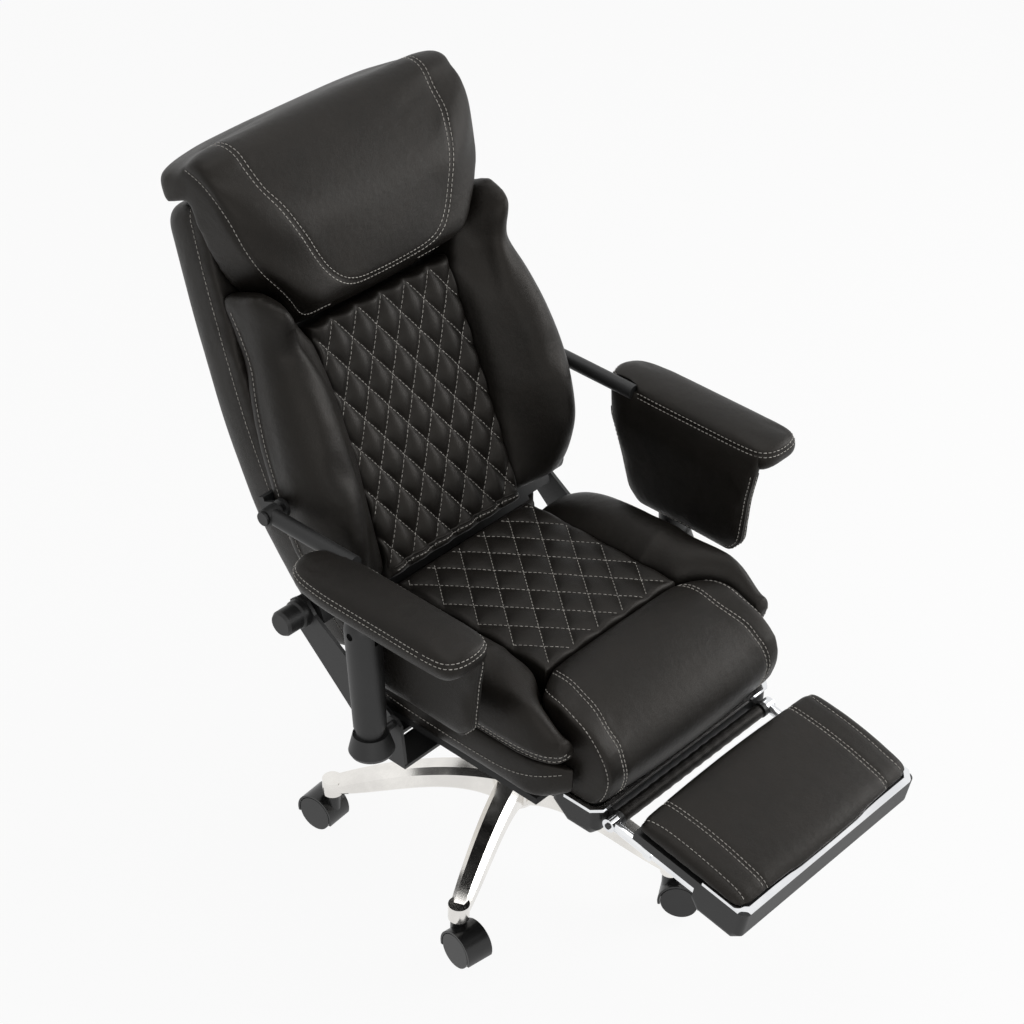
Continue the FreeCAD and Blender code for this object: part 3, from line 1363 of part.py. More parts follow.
def make_arm_bracket(side):
    """A flat arm from under the pan, with an ear and the pin that carries the post's cup."""
    tag = side_name(side)
    thick = S.plate_thickness
    inner = S.arm_bracket_inner
    ear = plate("bracket_ear_" + tag, "YZ_Plane", [
        (S.post_y - 26, S.pan_low - thick), (S.post_y + 26, S.pan_low - thick),
        (S.post_y + 15, S.post_z + 2), (S.post_y + 7, S.post_z + 10.5),
        (S.post_y - 7, S.post_z + 10.5), (S.post_y - 15, S.post_z + 2),
    ], thick, inner if side > 0 else -inner - thick)
    near = S.core_half_width - 40
    x_low = near if side > 0 else -inner - thick
    x_high = inner + thick if side > 0 else -near
    foot = block("bracket_foot_" + tag, (x_low, S.post_y - 26, S.pan_low - thick),
                 (x_high, S.post_y + 26, S.pan_low))
    pin_length = S.post_x - inner
    pin = cylinder("bracket_pin_" + tag, S.post_pin_radius, pin_length - S.seating_gap,
                   (inner if side > 0 else -inner - pin_length + S.seating_gap, S.post_y, S.post_z), "x")
    return [joined("arm_bracket_" + tag, [ear, foot, pin])]


def make_arm(side):
    """Pad, hanging panel and the steel that joins them to the post and to the back."""
    tag = side_name(side)
    inner = num(S.arm_inner)
    outer = num(S.arm_outer)
    underside = S.post_z + S.arm_link_height + S.arm_over_link
    low = num(underside)
    top = low + num(S.arm_thickness)
    front = -num(S.arm_front)
    rear = num(S.arm_rear)
    keys = [
        (front, 24, 14, 10), (front + 8, 11, 6, 4), (front + 20, 4, 2, 1), (front + 40, 1, 0, 0),
        (front + 80, 0, 0, 0), (rear - 100, 0, 0, 0), (rear - 60, 3, 0, 0), (rear - 30, 8, 1, 0),
        (rear - 10, 18, 5, 3), (rear, 31, 14, 10),
    ]
    sections = []
    for y in crowded(front, rear, 20):
        narrow, drop, lift = eased(keys, y)
        corners = [(inner + narrow, low + lift), (outer - narrow, low + lift),
                   (outer - narrow, top - 4 - drop), (inner + narrow, top - 4 - drop)]
        tall = top - drop - low - lift
        radii = [min(9, tall * 0.3), min(14, tall * 0.4), min(15, tall * 0.45), min(13, tall * 0.4)]
        bulges = [0, 2, 4, 1]
        sections.append((flipped(corners, side), flipped_values(radii, side),
                         flipped_values(bulges, side, per_side=True), across(y)))
    cushion = soft_loft(sections)
    link_y = num(S.recline_y) + num(S.arm_link_lean)
    link_z = num(S.recline_z) + num(S.arm_link_height)
    tube_x = side * num(S.arm_tube_x)
    tube_r = num(S.arm_tube_radius)
    tube_start = rear - 70
    channel = Part.makeCylinder(tube_r + 0.1, 200, Vector(tube_x, tube_start, link_z), Vector(0, 1, 0))
    pad_node = shaped("arm_pad_" + tag, cushion.cut(channel))

    panel = plate("arm_panel_" + tag, "YZ_Plane", [
        (-S.arm_front + 16, underside - S.seating_gap), (-S.arm_front + 28, S.panel_low + 26),
        (-S.arm_front + 50, S.panel_low), (S.arm_rear - 96, S.panel_low),
        (S.arm_rear - 72, S.panel_low + 22), (S.arm_rear - 16, underside - S.seating_gap),
    ], S.panel_outer - S.panel_inner, S.panel_inner if side > 0 else -S.panel_outer)
    doc.recompute()
    top_z = low - 2
    middle_x = side * (num(S.panel_inner) + num(S.panel_outer)) / 2
    round_edges(panel, S.panel_round, lambda e: abs(e.CenterOfMass.x - middle_x) > 5
                and e.CenterOfMass.z < top_z)

    tube = Part.makeCylinder(tube_r, link_y - tube_start - 6, Vector(tube_x, tube_start + 0.1, link_z),
                             Vector(0, 1, 0))
    eye = Part.makeCylinder(14, tube_r * 2, Vector(tube_x - tube_r, link_y, link_z), Vector(1, 0, 0))
    pin_hole = Part.makeCylinder(num(S.link_pin_radius) + num(S.running_clearance), 60,
                                 Vector(tube_x - 30, link_y, link_z), Vector(1, 0, 0))
    rear_link = tube.fuse(eye).cut(pin_hole).removeSplitter()

    joint_y = num(S.post_y) + num(S.arm_link_lean)
    joint_z = num(S.post_z) + num(S.arm_link_height)
    half = num(S.post_tongue) / 2
    post_x = side * num(S.post_x)
    base = Part.makeBox(44, 90, low - 0.1 - (joint_z + 29.2), Vector(post_x - 22, joint_y - 45, joint_z + 29.2))
    web = Part.makeBox(half * 2, 26, 31, Vector(post_x - half, joint_y - 13, joint_z))
    nose = Part.makeCylinder(13, half * 2, Vector(post_x - half, joint_y, joint_z), Vector(1, 0, 0))
    pin = Part.makeCylinder(num(S.post_pin_radius), 44, Vector(post_x - 22, joint_y, joint_z), Vector(1, 0, 0))
    front_link = base.fuse([web, nose, pin]).removeSplitter()
    steel = shaped("arm_frame_" + tag, Part.makeCompound([rear_link, front_link]))
    return [pad_node, panel, steel]


# build every sub-part, then check and write them

nodes = make_base()
for caster in range(1, int(num(S.leg_count)) + 1):
    nodes += make_caster(caster)
nodes += make_column()
nodes += make_mechanism()
nodes += make_seat_frame()
nodes.append(make_centre_pad())
nodes += [make_bolster(side) for side in (1, -1)]
nodes.append(make_front_roll())
nodes += make_front_housing()
nodes += make_hinge_bar()
nodes += make_rails()
nodes += make_foot_pan()
nodes += make_foot_pad()
nodes += make_back_frame()
nodes.append(make_shell())
nodes.append(make_back_pad())
nodes += [make_wing(side) for side in (1, -1)]
nodes.append(make_headrest())
for hand in (1, -1):
    nodes += make_recline_side(hand)
    nodes += make_arm_bracket(hand)
    nodes += make_post(hand)
    nodes += make_arm(hand)

for node in nodes:
    node.Label = node.Name

doc.recompute()

failed = [thing.Name for thing in doc.Objects
          if "Invalid" in thing.State or "Error" in thing.State]
if failed:
    raise RuntimeError("objects that failed: " + ", ".join(failed))
for node in nodes:
    if node.Shape.isNull() or not node.Shape.isValid() or not node.Shape.Solids:
        raise RuntimeError("no valid solid in " + node.Label)

os.makedirs("parts", exist_ok=True)
for node in nodes:
    node.Shape.exportStep("parts/%s.step" % node.Label)
print("wrote %d sub-parts" % len(nodes))
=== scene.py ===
import math

import bmesh
import bpy
from mathutils import Matrix, Vector
from mathutils.bvhtree import BVHTree
from mathutils.kdtree import KDTree


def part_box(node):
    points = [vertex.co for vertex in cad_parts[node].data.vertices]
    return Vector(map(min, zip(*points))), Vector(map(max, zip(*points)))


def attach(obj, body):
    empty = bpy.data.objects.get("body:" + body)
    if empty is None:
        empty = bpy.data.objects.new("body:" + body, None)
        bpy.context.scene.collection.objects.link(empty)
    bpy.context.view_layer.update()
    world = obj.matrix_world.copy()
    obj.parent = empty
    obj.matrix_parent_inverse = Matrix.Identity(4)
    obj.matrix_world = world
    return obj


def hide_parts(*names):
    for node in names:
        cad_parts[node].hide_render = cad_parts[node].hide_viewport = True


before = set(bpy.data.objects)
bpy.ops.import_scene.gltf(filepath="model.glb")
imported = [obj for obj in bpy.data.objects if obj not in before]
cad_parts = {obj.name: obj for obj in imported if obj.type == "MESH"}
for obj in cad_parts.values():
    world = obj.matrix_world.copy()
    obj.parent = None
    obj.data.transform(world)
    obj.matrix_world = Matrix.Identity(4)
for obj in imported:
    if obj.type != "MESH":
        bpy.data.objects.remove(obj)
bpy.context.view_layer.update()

MM = 0.001
scene = bpy.context.scene

# Frames in which the soft pieces are easiest to describe
BACK = Matrix.Translation((0, 0.145, 0.530)) @ Matrix.Rotation(math.radians(-24), 4, "X")
FOOT = Matrix.Translation((0, -0.344, 0.352)) @ Matrix.Rotation(math.radians(10), 4, "X")
CHAIR = Matrix.Identity(4)

# Camera

CAMERA_AZIMUTH = math.radians(-49.2)
CAMERA_ELEVATION = math.radians(36.0)
CAMERA_ROLL = math.radians(2.0)
CAMERA_DISTANCE = 4.0777
CAMERA_TARGET = Vector((0, 0.0304, 0.6295))


def make_camera():
    """The camera stands to the front right of the chair, well above it."""
    data = bpy.data.cameras.new("studio_camera")
    data.lens = 94.24
    data.sensor_width = 36
    camera = bpy.data.objects.new("studio_camera", data)
    scene.collection.objects.link(camera)
    flat = math.cos(CAMERA_ELEVATION)
    back = Vector((math.sin(CAMERA_AZIMUTH) * flat, -math.cos(CAMERA_AZIMUTH) * flat,
                   math.sin(CAMERA_ELEVATION)))
    level = Vector((math.cos(CAMERA_AZIMUTH), math.sin(CAMERA_AZIMUTH), 0))
    upright = back.cross(level)
    across = math.cos(CAMERA_ROLL) * level + math.sin(CAMERA_ROLL) * upright
    up = math.cos(CAMERA_ROLL) * upright - math.sin(CAMERA_ROLL) * level
    turn = Matrix((across, up, back)).transposed().to_4x4()
    camera.matrix_world = Matrix.Translation(CAMERA_TARGET + back * CAMERA_DISTANCE) @ turn
    data.clip_end = 100
    scene.camera = camera


# Finishes

class Wire:
    """A value inside a finish; arithmetic on it adds Math nodes."""

    def __init__(self, finish, socket):
        self.finish = finish
        self.socket = socket

    def math(self, operation, first, second=None):
        values = {0: first}
        if second is not None:
            values[1] = second
        return self.finish.node("ShaderNodeMath", {"operation": operation}, values)

    def __add__(self, other):
        return self.math("ADD", self, other)

    def __mul__(self, other):
        return self.math("MULTIPLY", self, other)

    __radd__ = __add__
    __rmul__ = __mul__

    def between(self, low, high):
        """0 below low, 1 above high, smooth in between."""
        return self.finish.node("ShaderNodeMapRange", {"interpolation_type": "SMOOTHSTEP", "clamp": True},
                                {"Value": self, "From Min": low, "From Max": high})


class Finish:
    """One material with its nodes."""

    def __init__(self, name):
        self.material = bpy.data.materials.new(name)
        self.material.use_nodes = True
        self.tree = self.material.node_tree
        self.shader = self.tree.nodes["Principled BSDF"]
        self.place = self.node("ShaderNodeTexCoord", {}, {}, "Object")

    def node(self, kind, settings, values, output=0):
        made = self.tree.nodes.new(kind)
        for name, setting in settings.items():
            setattr(made, name, setting)
        for name, value in values.items():
            if isinstance(value, Wire):
                self.tree.links.new(value.socket, made.inputs[name])
            else:
                made.inputs[name].default_value = value
        return Wire(self, made.outputs[output])

    def noise(self, scale, detail=3.0, roughness=0.5, place=None):
        return self.node("ShaderNodeTexNoise", {}, {"Vector": place or self.place, "Scale": scale,
                                                    "Detail": detail, "Roughness": roughness})

    def cells(self, scale, feature="DISTANCE_TO_EDGE"):
        return self.node("ShaderNodeTexVoronoi", {"feature": feature},
                         {"Vector": self.place, "Scale": scale})

    def mixed(self, share, first, second):
        return self.node("ShaderNodeMix", {"data_type": "RGBA"},
                         {"Factor": share, 6: (*first, 1) if isinstance(first, tuple) else first,
                          7: (*second, 1) if isinstance(second, tuple) else second}, 2)

    def bump(self, height, distance, strength=1.0, normal=None):
        values = {"Height": height, "Distance": distance, "Strength": strength}
        if normal is not None:
            values["Normal"] = normal
        return self.node("ShaderNodeBump", {}, values)

    def set(self, **sockets):
        """Sets the shader's sockets; base_color stands for Base Color, and so on."""
        names = {"specular_ior_level": "Specular IOR Level"}
        for name, value in sockets.items():
            socket = self.shader.inputs[names.get(name, name.replace("_", " ").title())]
            if isinstance(value, Wire):
                self.tree.links.new(value.socket, socket)
            else:
                socket.default_value = (*value, 1) if isinstance(value, tuple) else value
        return self.material


def leather(name, dark, light, roughness, crease):
    """Black coated leather: pebbled grain, faint creases and a slightly uneven sheen."""
    finish = Finish(name)
    drift = finish.noise(26, 2)
    patches = finish.noise(7, 4, 0.6)
    pebbles = finish.cells(620)
    pores = finish.noise(2300, 2)
    creases = finish.noise(55, 5, 0.62)
    colour = finish.mixed((patches * 0.7 + drift * 0.3).between(0.3, 0.72), dark, light)
    grain = pebbles.between(0.0, 0.16) * 0.8 + pores * 0.2
    first = finish.bump(creases, crease)
    return finish.set(base_color=colour, roughness=roughness - 0.05 + drift * 0.08 + patches * 0.05,
                      normal=finish.bump(grain, 0.00022, 0.45, first), specular_tint=(1.0, 0.95, 0.89),
                      specular_ior_level=0.22)


def thread():
    """Pale polyester thread, a little dirty, with its twist."""
    finish = Finish("pale_thread")
    twist = finish.node("ShaderNodeTexWave", {"bands_direction": "DIAGONAL"},
                        {"Vector": finish.place, "Scale": 900.0, "Distortion": 1.5})
    colour = finish.mixed(finish.noise(160, 2).between(0.3, 0.7), (0.4, 0.38, 0.35), (0.66, 0.63, 0.58))
    return finish.set(base_color=colour, roughness=0.62, normal=finish.bump(twist, 0.0001, 0.5))


def bright_metal(name, light, dull, low, high, brush=None):
    """Plated or polished metal with smudges and hairline marks."""
    finish = Finish(name)
    smudges = finish.noise(9, 5, 0.65)
    marks = finish.noise(420, 2)
    if brush:
        stretched = finish.node("ShaderNodeMapping", {}, {"Vector": finish.place, "Scale": brush})
        marks = finish.noise(260, 3, 0.6, stretched)
    colour = finish.mixed(smudges.between(0.35, 0.7), dull, light)
    return finish.set(base_color=colour, metallic=1.0,
                      roughness=low + smudges * (high - low) + marks * 0.02,
                      normal=finish.bump(marks, 0.00005, 0.25))


def moulded(name, dark, light, roughness, grain_scale, grain_depth):
    """Moulded plastic or paint with a fine grain, paler where it is rubbed."""
    finish = Finish(name)
    rubbed = finish.noise(14, 4, 0.6)
    grain = finish.noise(grain_scale, 2)
    colour = finish.mixed(rubbed.between(0.35, 0.75), dark, light)
    return finish.set(base_color=colour, roughness=roughness + rubbed * 0.12,
                      normal=finish.bump(grain, grain_depth, 0.5))


def open_foam():
    finish = Finish("open_foam")
    pores = finish.cells(700, "F1")
    colour = finish.mixed(pores.between(0.1, 0.6), (0.42, 0.38, 0.24), (0.74, 0.7, 0.52))
    return finish.set(base_color=colour, roughness=0.95, normal=finish.bump(pores, 0.0006, 0.7))


HIDE_DARK = (0.0042, 0.0036, 0.003)
HIDE_LIGHT = (0.0098, 0.0082, 0.0068)
LEATHER = leather("black_leather_hide", HIDE_DARK, HIDE_LIGHT, 0.4, 0.0008)
QUILT_LEATHER = leather("black_leather_quilted", HIDE_DARK, HIDE_LIGHT, 0.4, 0.0005)
THREAD = thread()
CHROME = bright_metal("chrome_plate", (0.86, 0.87, 0.88), (0.74, 0.75, 0.77), 0.05, 0.13)
ALUMINIUM = bright_metal("polished_aluminium_cast", (0.88, 0.86, 0.82), (0.74, 0.72, 0.69), 0.09, 0.2)
STEEL = bright_metal("bright_turned_steel", (0.7, 0.7, 0.7), (0.5, 0.5, 0.51), 0.18, 0.32, (1, 1, 14))
SOOT = (0.006, 0.006, 0.006)
WORN_SOOT = (0.012, 0.012, 0.012)
MATTE_PLASTIC = moulded("matte_black_plastic", SOOT, WORN_SOOT, 0.42, 900, 0.0002)
NYLON = moulded("glossy_black_nylon", SOOT, WORN_SOOT, 0.24, 500, 0.00006)
PAINTED_STEEL = moulded("black_powder_coat", (0.005, 0.005, 0.005), (0.01, 0.01, 0.01), 0.4, 1300, 0.00015)
UNDERCLOTH = moulded("black_undercloth", (0.008, 0.008, 0.008), (0.014, 0.014, 0.014), 0.75, 1800,
                     0.0004)
FOAM = open_foam()

NODE_FINISHES = [
    (ALUMINIUM, ["base_star"]),
    (CHROME, ["front_trim", "footrest_trim", "outer_rails", "inner_rails", "gas_piston"]),
    (STEEL, ["seat_bolts"]),
    (MATTE_PLASTIC, ["dust_cover_lower", "dust_cover_middle", "dust_cover_upper", "footrest_housing",
                     "footrest_pan", "height_lever", "tension_knob", "recline_hub_left",
                     "recline_hub_right", "arm_post_left", "arm_post_right", "post_cup_left",
                     "post_cup_right", "hinge_fittings"]),
    (NYLON, ["caster_fork_%d" % n for n in range(1, 6)] + ["caster_wheels_%d" % n for n in range(1, 6)]),
    (PAINTED_STEEL, ["gas_cylinder", "tilt_housing", "arm_bracket_left", "arm_bracket_right",
                     "recline_plate_left", "recline_plate_right", "arm_frame_left", "arm_frame_right",
                     "arm_link_bracket_left", "arm_link_bracket_right", "back_frame"]),
    (UNDERCLOTH, ["seat_pan"]),
    (FOAM, ["seat_core"]),
]


def finish_nodes():
    """Gives each CAD node that stays in view its own finish."""
    for material, names in NODE_FINISHES:
        for name in names:
            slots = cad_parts[name].material_slots
            for slot in slots:
                slot.material = material
            if not slots:
                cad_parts[name].data.materials.append(material)


# Making pieces

def clamped(value):
    return max(0.0, min(1.0, value))


def new_piece(name, mesh, material):
    piece = bpy.data.objects.new(name, mesh)
    scene.collection.objects.link(piece)
    mesh.materials.clear()
    mesh.materials.append(material)
    return piece


def settled(piece):
    """The mesh that a piece's modifiers give at this moment."""
    graph = bpy.context.evaluated_depsgraph_get()
    return bpy.data.meshes.new_from_object(piece.evaluated_get(graph), depsgraph=graph)


def adopt(piece, mesh, material):
    """Puts the finished mesh on the piece and drops its modifiers."""
    old = piece.data
    piece.modifiers.clear()
    piece.data = mesh
    bpy.data.meshes.remove(old)
    mesh.materials.clear()
    mesh.materials.append(material)
    mesh.shade_smooth()


def shaped_by(piece, action):
    """Runs a bmesh action on the piece's mesh."""
    bm = bmesh.new()
    bm.from_mesh(piece.data)
    action(bm)
    bm.normal_update()
    bm.to_mesh(piece.data)
    bm.free()
    piece.data.update()


def smoothed(piece, times, factor=0.5, where=None):
    def relax(bm):
        chosen = [v for v in bm.verts if where is None or where(v.co * 1000)]
        for _ in range(times):
            bmesh.ops.smooth_vert(bm, verts=chosen, factor=factor, use_axis_x=True, use_axis_y=True,
                                  use_axis_z=True)
    shaped_by(piece, relax)


def subdivided(piece):
    modifier = piece.modifiers.new("fine", "SUBSURF")
    modifier.levels = 1
    modifier.render_levels = 1
    adopt(piece, settled(piece), piece.data.materials[0])


def blank_from(node, name, voxel, material):
    """An even mesh over a CAD node's solid, ready to be padded."""
    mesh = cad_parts[node].data.copy()
    piece = new_piece(name, mesh, material)
    shaped_by(piece, lambda bm: bmesh.ops.remove_doubles(bm, verts=bm.verts, dist=0.00005))
    modifier = piece.modifiers.new("even", "REMESH")
    modifier.mode = "VOXEL"
    modifier.voxel_size = voxel
    adopt(piece, settled(piece), material)
    smoothed(piece, 2)
    return piece


def local_points(piece, space):
    """The piece's vertices in one of the frames, in millimetres."""
    inverse = space.inverted()
    return [(inverse @ v.co) * 1000 for v in piece.data.vertices]


class Guide:
    """A smooth line through points given in millimetres in one of the frames."""

    def __init__(self, space, points, closed=False, step=4.0):
        self.closed = closed
        knots = [Vector(p) for p in points]
        count = len(knots)
        line = []
        spans = count if closed else count - 1
        for i in range(spans):
            p1 = knots[i]
            p2 = knots[(i + 1) % count]
            p0 = knots[i - 1] if closed or i > 0 else p1 * 2 - p2
            p3 = knots[(i + 2) % count] if closed or i + 2 < count else p2 * 2 - p1
            pieces = max(2, int((p2 - p1).length / step))
            for j in range(pieces):
                t = j / pieces
                line.append(0.5 * (2 * p1 + (p2 - p0) * t + (2 * p0 - 5 * p1 + 4 * p2 - p3) * t * t
                                   + (3 * p1 - p0 - 3 * p2 + p3) * t * t * t))
        if not closed:
            line.append(knots[-1])
        self.points = [space @ (p * MM) for p in line]

    def mirrored(self):
        other = Guide.__new__(Guide)
        other.closed = self.closed
        other.points = [Vector((-p.x, p.y, p.z)) for p in self.points]
        return other


EVENING_PASSES = 24


class Skin:
    """A finished surface that seams are laid on."""

    def __init__(self, piece):
        bm = bmesh.new()
        bm.from_mesh(piece.data)
        self.tree = BVHTree.FromBMesh(bm)
        bm.free()

    def laid(self, guide, aside=0.0):
        """The guide's points dropped on the skin with their normals, moved aside along it."""
        touched = []
        for point in guide.points:
            spot, normal, _, _ = self.tree.find_nearest(point)
            touched.append((spot, normal))
        for _ in range(EVENING_PASSES):
            touched = self.relaxed(touched, guide.closed)
        if aside:
            moved = []
            count = len(touched)
            for i, (spot, normal) in enumerate(touched):
                ahead = touched[(i + 1) % count if guide.closed else min(i + 1, count - 1)][0]
                behind = touched[i - 1 if guide.closed or i > 0 else 0][0]
                sideways = (ahead - behind).cross(normal).normalized()
                spot, normal, _, _ = self.tree.find_nearest(spot + sideways * aside)
                moved.append((spot, normal))
            touched = moved
            for _ in range(4):
                touched = self.relaxed(touched, guide.closed)
        return touched

    def relaxed(self, touched, closed):
        """Evens small zigzags out of a laid line."""
        count = len(touched)
        made = []
        for i, (spot, normal) in enumerate(touched):
            if closed or 0 < i < count - 1:
                spot = (touched[i - 1][0] + spot * 2 + touched[(i + 1) % count][0]) / 4
                spot, normal, _, _ = self.tree.find_nearest(spot)
            made.append((spot, normal))
        return made


def pressed(piece, lines, depth, width):
    """Presses a soft groove into the piece along lines of points."""
    points = [p for line in lines for p in line]
    tree = KDTree(len(points))
    for i, point in enumerate(points):
        tree.insert(point, i)
    tree.balance()

    def press(bm):
        moves = []
        for v in bm.verts:
            distance = tree.find(v.co)[2]
            if distance < width * 3:
                moves.append((v, v.normal * -depth * math.exp(-(distance / width) ** 2)))
        for v, move in moves:
            v.co += move
    shaped_by(piece, press)


def drawn(name, lines, radius, material, body, sides=2):
    """Round beads along lines of points, such as piping and stitches, as one mesh."""
    curve = bpy.data.curves.new(name, "CURVE")
    curve.dimensions = "3D"
    curve.bevel_depth = radius
    curve.bevel_resolution = sides
    curve.use_fill_caps = True
    for line in lines:
        spline = curve.splines.new("POLY")
        spline.points.add(len(line) - 1)
        for place, (point, share) in zip(spline.points, line):
            place.co = (*point, 1)
            place.radius = share
    holder = bpy.data.objects.new(name + "_line", curve)
    scene.collection.objects.link(holder)
    mesh = settled(holder)
    bpy.data.objects.remove(holder)
    bpy.data.curves.remove(curve)
    piece = new_piece(name, mesh, material)
    mesh.shade_smooth()
    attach(piece, body)


STITCH_LENGTH = 0.0052
STITCH_PITCH = 0.0078
STITCH_RADIUS = 0.0006
QUILT_STITCH_RADIUS = 0.0005
STITCH_PROFILE = ((0, -0.0002, 0.55), (0.2, 0.00035, 1), (0.8, 0.00035, 1), (1, -0.0002, 0.55))


def stitches_along(touched, closed=False):
    """Short raised threads one after another along a laid line."""
    line = touched + touched[:1] if closed else touched
    lengths = [0.0]
    for (a, _), (b, _) in zip(line[:-1], line[1:]):
        lengths.append(lengths[-1] + (b - a).length)
    made = []

    def at(distance):
        while at.i < len(lengths) - 2 and lengths[at.i + 1] < distance:
            at.i += 1
        span = max(1e-9, lengths[at.i + 1] - lengths[at.i])
        share = min(1.0, (distance - lengths[at.i]) / span)
        spot = line[at.i][0].lerp(line[at.i + 1][0], share)
        normal = line[at.i][1].lerp(line[at.i + 1][1], share).normalized()
        return spot, normal
    at.i = 0
    start = STITCH_PITCH * 0.3
    while start + STITCH_LENGTH < lengths[-1]:
        stitch = []
        for share, lift, full in STITCH_PROFILE:
            spot, normal = at(start + STITCH_LENGTH * share)
            stitch.append((spot + normal * lift, full))
        made.append(stitch)
        start += STITCH_PITCH
    return made


def sewn(name, body, stitches, radius=STITCH_RADIUS):
    drawn(name, stitches, radius, THREAD, body, 1)


def piping(touched, radius):
    """A bead that lies partly sunk along a laid line."""
    return [(spot - normal * radius * 0.3, 1) for spot, normal in touched]


def mirrored_mesh(piece, name):
    """The same piece for the other side of the chair."""
    mesh = piece.data.copy()
    other = new_piece(name, mesh, piece.data.materials[0])

    def turn(bm):
        bmesh.ops.transform(bm, matrix=Matrix.Scale(-1, 4, (1, 0, 0)), verts=bm.verts)
        bmesh.ops.reverse_faces(bm, faces=bm.faces)
    shaped_by(other, turn)
    mesh.shade_smooth()
    return other


def mirrored_stitches(stitches):
    return [[(Vector((-p.x, p.y, p.z)), share) for p, share in stitch] for stitch in stitches]


# Padding by cloth simulation

PRESSURE = 4.0
FRAMES = 20


class Padding:
    """A padded piece: it starts a little small, is held where it is sewn or hidden, and swells.

    voxel is its mesh width; shrink, cap (the furthest a point may move), seam_width and grow are in
    millimetres; evening counts the smoothing passes at the end.
    """

    waiting = []

    def __init__(self, node, name, space, voxel, shrink, cap, hidden, guides=(), seam_width=6.0,
                 evening=6, grow=0):
        self.piece = blank_from(node, name, voxel, LEATHER)
        self.cap = cap * MM
        self.evening = evening
        self.grow = grow
        places = local_points(self.piece, space)
        skin = Skin(self.piece)
        seam_points = [spot for guide in guides for spot, _ in skin.laid(guide)]
        tree = KDTree(len(seam_points) + 1)
        for i, spot in enumerate(seam_points):
            tree.insert(spot, i)
        tree.insert(Vector((0, 0, -10)), len(seam_points))
        tree.balance()
        held = self.piece.vertex_groups.new(name="held")
        offsets = []
        for v, place in zip(self.piece.data.vertices, places):
            buried = hidden(place)
            near = tree.find(v.co)[2] < seam_width * MM
            offsets.append(v.co - v.normal * (0 if buried else shrink * MM))
            weight = 1.0 if buried or near else 0.0
            held.add([v.index], weight, "REPLACE")
        for v, place in zip(self.piece.data.vertices, offsets):
            v.co = place
        self.start = [v.co.copy() for v in self.piece.data.vertices]
        cloth = self.piece.modifiers.new("padding", "CLOTH")
        settings = cloth.settings
        settings.quality = 4
        settings.mass = 0.3
        settings.tension_stiffness = 15
        settings.compression_stiffness = 12
        settings.bending_stiffness = 0.6
        settings.use_pressure = True
        settings.uniform_pressure_force = PRESSURE
        settings.vertex_group_mass = "held"
        settings.effector_weights.gravity = 0
        cloth.collision_settings.use_collision = False
        cloth.collision_settings.use_self_collision = False
        cloth.point_cache.frame_end = FRAMES
        Padding.waiting.append(self)

    def finish(self):
        """Keeps the swollen shape, but no point further than the cap from where it began."""
        mesh = settled(self.piece)
        for v, place in zip(mesh.vertices, self.start):
            move = v.co - place
            if move.length > self.cap:
                move *= self.cap / move.length
            v.co = place + move
        self.piece.vertex_groups.clear()
        adopt(self.piece, mesh, LEATHER)
        smoothed(self.piece, self.evening)
        if self.grow:
            for v, normal in [(v, v.normal.copy()) for v in self.piece.data.vertices]:
                v.co += normal * self.grow * MM

    @classmethod
    def swell(cls):
        """Runs every waiting piece's simulation together."""
        for number in range(1, FRAMES + 1):
            scene.frame_set(number)
        for one in cls.waiting:
            one.finish()
        cls.waiting = []


# Headrest: a big pillow with a U-shaped seam and sewn side edges

HEAD_U = Guide(BACK, [(-200, 40, 712), (-198, 23, 708), (-193, -20, 684), (-187, -54, 650),
                      (-177, -71, 616), (-165, -76, 576), (-150, -75, 535), (-130, -68, 494),
                      (-104, -60, 464), (-66, -57, 449), (0, -57, 445), (66, -57, 449),
                      (104, -60, 464), (130, -68, 494), (150, -75, 535), (165, -76, 576),
                      (177, -71, 616), (187, -54, 650), (193, -20, 684), (198, 23, 708),
                      (200, 40, 712)])
HEAD_EDGE = Guide(BACK, [(262, 30, 700), (262, 0, 676), (262, -25, 640), (258, -38, 597), (250, -38, 550),
                         (231, -34, 506), (205, -27, 464), (170, -12, 425), (140, -8, 412), (90, -8, 408)])
HEAD_EDGES = [HEAD_EDGE, HEAD_EDGE.mirrored()]

headrest = Padding("headrest", "headrest_leather", BACK, 0.0055, 5, 11,
                   lambda p: p.y > 40 and p.z < 655 and abs(p.x) < 240,
                   [HEAD_U] + HEAD_EDGES, 4, 9, 3)

# Wings: the big side bolsters of the back

WING_OUTER = Guide(BACK, [(237, 38, 14), (251, 32, 22), (265, 26, 46), (279, 22, 100), (284, 22, 180),
                          (281, 22, 265), (271, 22, 340), (262, 22, 400), (262, 24, 440), (263, 28, 480)])
wing = Padding("back_wing_left", "wing_leather_left", BACK, 0.0052, 5, 12,
               lambda p: p.y > 41 or (p.x < 154.5 and p.y > 0) or p.z < 7, [WING_OUTER], 4, 18, 5.5)

# Shell: the thick rear cover

shell = Padding("back_shell", "shell_leather", BACK, 0.0085, 3, 6, lambda p: p.y < 62, [], 6)

# Seat bolsters, front roll, arm pads and panels, footrest pad

BOLSTER_EDGE = Guide(CHAIR, [(246, 112, 478), (262, 90, 468), (264, 0, 463), (264, -150, 463),
                             (263, -236, 466), (258, -270, 470), (246, -290, 476), (228, -297, 484)])
bolster = Padding("seat_bolster_left", "seat_bolster_leather_left", CHAIR, 0.005, 4, 9,
                  lambda p: p.z < 456 or (p.x < 154.5 and p.z < 520), [BOLSTER_EDGE], 4, 12, 2.5)

